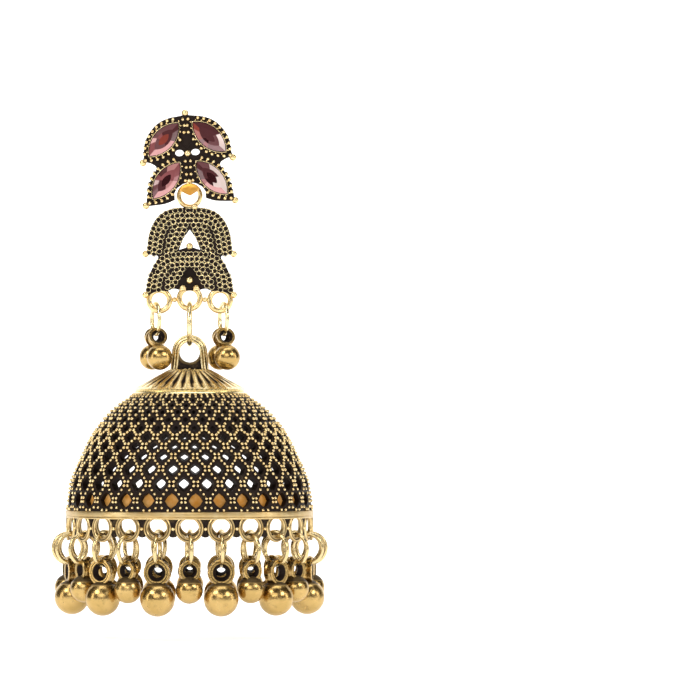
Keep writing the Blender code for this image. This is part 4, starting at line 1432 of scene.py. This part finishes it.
    def bands(self):
        """The plain band at the shoulder and the polished rim with its lower lip."""
        sizes = chosen("bell")
        shoulder = sizes.shoulder
        top_band = turned(
            "shoulder band",
            (
                (0.00800, shoulder + 0.00012),
                (0.00862, shoulder - 0.00002),
                (0.00898, shoulder - 0.00022),
                (0.00908, shoulder - 0.00040),
                (0.00900, shoulder - 0.00052),
                (0.00830, shoulder - 0.00050),
                (0.00800, shoulder - 0.00020),
            ),
            steps=124,
        )
        mark_oxide_and_shade(top_band, -0.9)
        rim_top = shoulder - sizes.height
        foot = rim_top - sizes.rim_height
        outer = sizes.rim
        rim = turned(
            "rim",
            (
                (outer - 0.0008, rim_top + 0.00012),
                (outer - 0.0002, rim_top + 0.00012),
                (outer - 0.00003, rim_top),
                (outer, rim_top - 0.00015),
                (outer - 0.00004, foot + 0.00040),
                (outer - 0.00010, foot + 0.00034),
                (outer - 0.00002, foot + 0.00026),
                (outer, foot + 0.00012),
                (outer - 0.00006, foot),
                (outer - 0.0008, foot),
            ),
            steps=124,
        )
        return joined("bands", [top_band, mark_oxide_and_shade(rim, 0.22)])

    def bail(self):
        """The bail: a dark barrel under three bright arched ribs on either side, on a flared foot."""
        sizes = chosen("bell")
        hole = sizes.bail
        crest = hole + sizes.bail_wall
        deep = sizes.bail_depth / 2
        half = [(hole, deep - 0.0001), (hole + 0.0003, deep), (hole + 0.0007, deep - 0.0004)]
        half.append((crest, deep - 0.0011))
        profile = doubled([(hole, 0.0)] + half + [(crest, 0.0)])
        barrel = mark_oxide_and_shade(turned("bail barrel", profile, "Y", 56, angle=math.radians(50)), 0.75)
        z = PINS["bell_sway"].z + 0.00045 - hole
        barrel.data.transform(Matrix.Translation((0, 0, z)))
        top = sizes.shoulder + sizes.crown
        edge = [(0.0, z - hole - 0.0001), (0.0009, z - hole + 0.0002), (0.0016, z - 0.0010)]
        edge += [(0.0025, z - 0.0006), (0.00272, z - 0.0014), (0.0029, top - 0.0001), (0.0, top - 0.0002)]
        foot = mark_oxide_and_shade(plate("bail foot", mirrored(edge), -deep * 0.9, deep * 0.9, 0.00012), 0.9)
        parts = [barrel, foot]
        ribs = ((0.00018, 0.0002, 0.0), (0.0006, 0.00022, 0.0003), (0.00096, 0.00022, 0.0008))
        turns = np.linspace(0, math.pi, 25)
        for reach, wire, back in ribs:
            radius = hole + reach
            path = [Vector((radius * math.cos(turn), z + radius * math.sin(turn))) for turn in turns]
            wide = radius + 0.0003
            legs = [(radius + 0.0001, z - 0.001), (wide, top - 0.0001), (wide, top - 0.0006)]
            path += [Vector((-x, height)) for x, height in legs] + [Vector(leg) for leg in reversed(legs)]
            for sign in (-1, 1):
                parts.append(mark_oxide_and_shade(wire_round("rib", path, wire, sign * (deep - back), 8), -0.3))
        for x, radius in ((-0.0007, 0.0003), (0.0008, 0.0003), (0.0, 0.00022)):
            height = top + 0.00045 - x * x * 300
            for sign in (-1, 1):
                parts.append(ball("bail dot", radius, (x, sign * deep * 0.95, height), 12, 8))
        return joined("bail", parts)

    def loops(self):
        """The rim loops, ridged like two wires side by side, and the dark webs between them."""
        sizes = chosen("fringe")
        wire = sizes.loop_wire
        profile = [
            (sizes.loop - wire, 0.0),
            (sizes.loop - wire * 0.8, wire * 0.6),
            (sizes.loop - wire * 0.45, wire * 0.8),
            (sizes.loop - wire * 0.1, wire * 0.45),
            (sizes.loop + wire * 0.1, wire * 0.45),
            (sizes.loop + wire * 0.45, wire * 0.8),
            (sizes.loop + wire * 0.8, wire * 0.6),
            (sizes.loop + wire, 0.0),
        ]
        loop = turned("rim loop", doubled(profile), "Y", 36, angle=math.radians(60))
        mark_oxide_and_shade(loop, lambda p: 0.8 if abs(abs(p.y) - wire * 0.45) < wire * 0.05 else 0.12)
        edge = (
            (0.0, sizes.fall + 0.0001),
            (0.0016, sizes.fall + 0.0001),
            (0.0010, 0.0009),
            (0.00045, 0.0003),
            (0.00038, -0.0003),
            (0.0006, -0.0010),
            (0.0005, -0.00135),
            (0.0, -0.00145),
        )
        web = mark_oxide_and_shade(plate("web", mirrored(edge), -wire * 0.45, wire * 0.45, 0.00006), 0.9)
        dot = ball("web dot", 0.0003, (0, -wire * 0.6, -0.0001), 12, 8)
        web = joined("web", [web, dot])
        parts = []
        step = math.tau / sizes.drops
        for i in range(sizes.drops):
            for model, shift in ((loop, 0.0), (web, 0.5)):
                turn = Matrix.Rotation(FRINGE_TURN + step * (i + shift), 4, "Z")
                place = turn @ spot(0, -sizes.line, loop_height())
                parts.append(copied(model, "rim part", place))
        bpy.data.objects.remove(loop)
        bpy.data.objects.remove(web)
        return joined("bell_loops", parts)


class JHUMKA_OT_fringe(bpy.types.Operator):
    """Hangs the drops of the fringe, small and large in turn"""

    bl_idname = "jhumka.fringe"
    bl_label = "Fringe"

    def execute(self, context):
        sizes = chosen("fringe")
        models = [
            self.drop("small drop", 0.00217, 0.00112, 0.00062, 0.0014, 0.0030),
            self.drop("large drop", 0.00278, 0.00136, 0.00076, 0.0017, 0.0042),
        ]
        golds = [bead_gold(f"fringe gold {word}", chosen("finishes").amber) for word in ("small", "large")]
        ring_z = loop_height() - sizes.loop + sizes.loop_wire + 0.0001 + sizes.wire - sizes.ring
        for i in range(sizes.drops):
            turn = Matrix.Rotation(FRINGE_TURN + math.tau * i / sizes.drops, 4, "Z")
            twist = Matrix.Rotation(math.radians(10) * math.sin(2.4 * i + 1.9), 4, "Z")
            place = bell_axis() @ turn @ spot(0, -sizes.line, ring_z) @ twist
            piece = copied(models[i % 2], f"fringe_{i + 1:02d}", place)
            dressed(piece, "bell", [f"drop_{i + 1:02d}"], golds[i % 2])
        for model in models:
            bpy.data.objects.remove(model)
        return {"FINISHED"}

    def drop(self, name, bead, hole, wall, length, drop):
        """A jump ring and its bead. The origin is the ring's centre."""
        sizes = chosen("fringe")
        lump = hung_bead(name, bead, hole, wall, length, drop)
        lump.data.transform(Matrix.Translation((0, 0, -sizes.ring + sizes.wire - 0.0001 - hole)))
        edge_on = Matrix.Rotation(math.pi / 2, 4, "Z")
        ring = torus(name + " ring", sizes.ring, sizes.wire * 1.15, edge_on, 36, 10)
        return joined(name, [lump, mark_oxide_and_shade(ring, -0.45)])


class JHUMKA_OT_studio(bpy.types.Operator):
    """Sets the floor, the soft lights and the camera"""

    bl_idname = "jhumka.studio"
    bl_label = "Studio"

    def execute(self, context):
        self.camera()
        self.floor()
        self.lights()
        return {"FINISHED"}

    def camera(self):
        sizes = chosen("studio")
        lens = bpy.data.cameras.new("camera")
        lens.sensor_width = 36.0
        lens.lens = 36.0 * sizes.distance / sizes.width
        lens.clip_end = 20.0
        made = bpy.data.objects.new("camera", lens)
        made.location = (sizes.across, -sizes.distance, sizes.height)
        made.rotation_euler = (math.pi / 2, 0.0, 0.0)
        bpy.context.scene.collection.objects.link(made)
        bpy.context.scene.camera = made

    def floor(self):
        """One white sheet: a floor that starts just below the picture and curves up into a back.

        Its outside is clear, so the earring can be seen from behind.
        """
        sizes = chosen("studio")
        level = CAD_BOX[0][2] - sizes.floor_gap
        bend = 0.25
        profile = [(-0.8, level), (0.45, level)]
        for i in range(1, 13):
            angle = math.pi / 2 * i / 12
            profile.append((0.45 + bend * math.sin(angle), level + bend * (1 - math.cos(angle))))
        profile.append((0.45 + bend, level + 0.75))
        points = []
        faces = []
        for i, (y, z) in enumerate(profile):
            points += [(-0.9, y, z), (0.9, y, z)]
            if i:
                faces.append((2 * i - 2, 2 * i - 1, 2 * i + 1, 2 * i))
        made = mesh_object("studio_floor", points, faces)
        made.data.shade_smooth()
        paint = Paint("floor paper")
        tone = chosen("finishes").floor
        paper = paint.noise(40.0, 2.0)
        outside = Value(paint, paint.node("ShaderNodeNewGeometry").outputs["Backfacing"])
        made.data.materials.append(
            paint.finish(
                base_color=paint.blend(paper, tuple(c * 0.99 for c in tone), tuple(tone)),
                roughness=0.85,
                alpha=1.0 - outside,
                emission_color=(1.0, 1.0, 1.0, 1.0),
                emission_strength=0.72,
            )
        )

    def lights(self):
        for name, place, size, power, colour in (
            ("key softbox", (-0.42, -0.40, 0.46), (0.30, 0.22), 2.0, (1.0, 0.97, 0.92)),
            ("fill softbox", (0.50, -0.42, 0.32), (0.26, 0.20), 1.5, (1.0, 0.98, 0.95)),
            ("top softbox", (0.02, -0.08, 0.60), (0.60, 0.22), 1.3, (1.0, 1.0, 1.0)),
            ("back softbox", (0.0, 0.34, 0.56), (0.80, 0.36), 1.3, (1.0, 0.98, 0.94)),
            ("front softbox", (-0.12, -1.00, 0.34), (0.70, 0.36), 2.6, (1.0, 0.97, 0.92)),
            ("left strip", (-0.55, -0.20, 0.0), (0.08, 0.5), 0.7, (1.0, 0.95, 0.88)),
            ("right strip", (0.58, -0.12, 0.0), (0.08, 0.5), 0.7, (1.0, 0.95, 0.88)),
        ):
            lamp = bpy.data.lights.new(name, "AREA")
            lamp.shape = "RECTANGLE"
            lamp.size, lamp.size_y = size
            lamp.energy = power
            lamp.color = colour
            made = bpy.data.objects.new(name, lamp)
            made.location = place
            aim = Vector((0.0, 0.0, -0.04)) - Vector(place)
            made.rotation_euler = aim.to_track_quat("-Z", "Y").to_euler()
            bpy.context.scene.collection.objects.link(made)
        world = bpy.data.worlds.new("studio dusk")
        bpy.context.scene.world = world
        world.use_nodes = True
        world.node_tree.nodes["Background"].inputs["Color"].default_value = (0.065, 0.047, 0.026, 1.0)
        world.node_tree.nodes["Background"].inputs["Strength"].default_value = 1.0
        bpy.context.scene.view_settings.view_transform = "Standard"


class JHUMKA_PT_sidebar(bpy.types.Panel):
    """Lists the steps of the earring"""

    bl_idname = "JHUMKA_PT_sidebar"
    bl_label = "Jhumka earring"
    bl_space_type = "VIEW_3D"
    bl_region_type = "UI"
    bl_category = "Jhumka"

    def draw(self, context):
        for step in STEPS:
            self.layout.operator(step.bl_idname)
        for name in SIZE_GROUPS:
            box = self.layout.box()
            group = getattr(context.scene, name)
            box.label(text=name.removeprefix("jhumka_").capitalize())
            for key in group.__annotations__:
                box.prop(group, key)


STEPS = (
    JHUMKA_OT_stud,
    JHUMKA_OT_stones,
    JHUMKA_OT_post,
    JHUMKA_OT_plaque,
    JHUMKA_OT_links,
    JHUMKA_OT_side_beads,
    JHUMKA_OT_bell,
    JHUMKA_OT_fringe,
    JHUMKA_OT_studio,
)

SIZE_GROUPS = {
    "jhumka_stud": StudSizes,
    "jhumka_plaque": PlaqueSizes,
    "jhumka_bell": BellSizes,
    "jhumka_fringe": FringeSizes,
    "jhumka_finishes": Finishes,
    "jhumka_studio": StudioSizes,
}


def register():
    for kind in (*SIZE_GROUPS.values(), *STEPS, JHUMKA_PT_sidebar):
        bpy.utils.register_class(kind)
    for name, kind in SIZE_GROUPS.items():
        setattr(bpy.types.Scene, name, PointerProperty(type=kind))


def unregister():
    for name in SIZE_GROUPS:
        delattr(bpy.types.Scene, name)
    for kind in reversed((*SIZE_GROUPS.values(), *STEPS, JHUMKA_PT_sidebar)):
        bpy.utils.unregister_class(kind)


def main():
    register()
    for step in STEPS:
        group, name = step.bl_idname.split(".")
        getattr(getattr(bpy.ops, group), name)()


if __name__ == "__main__":
    main()
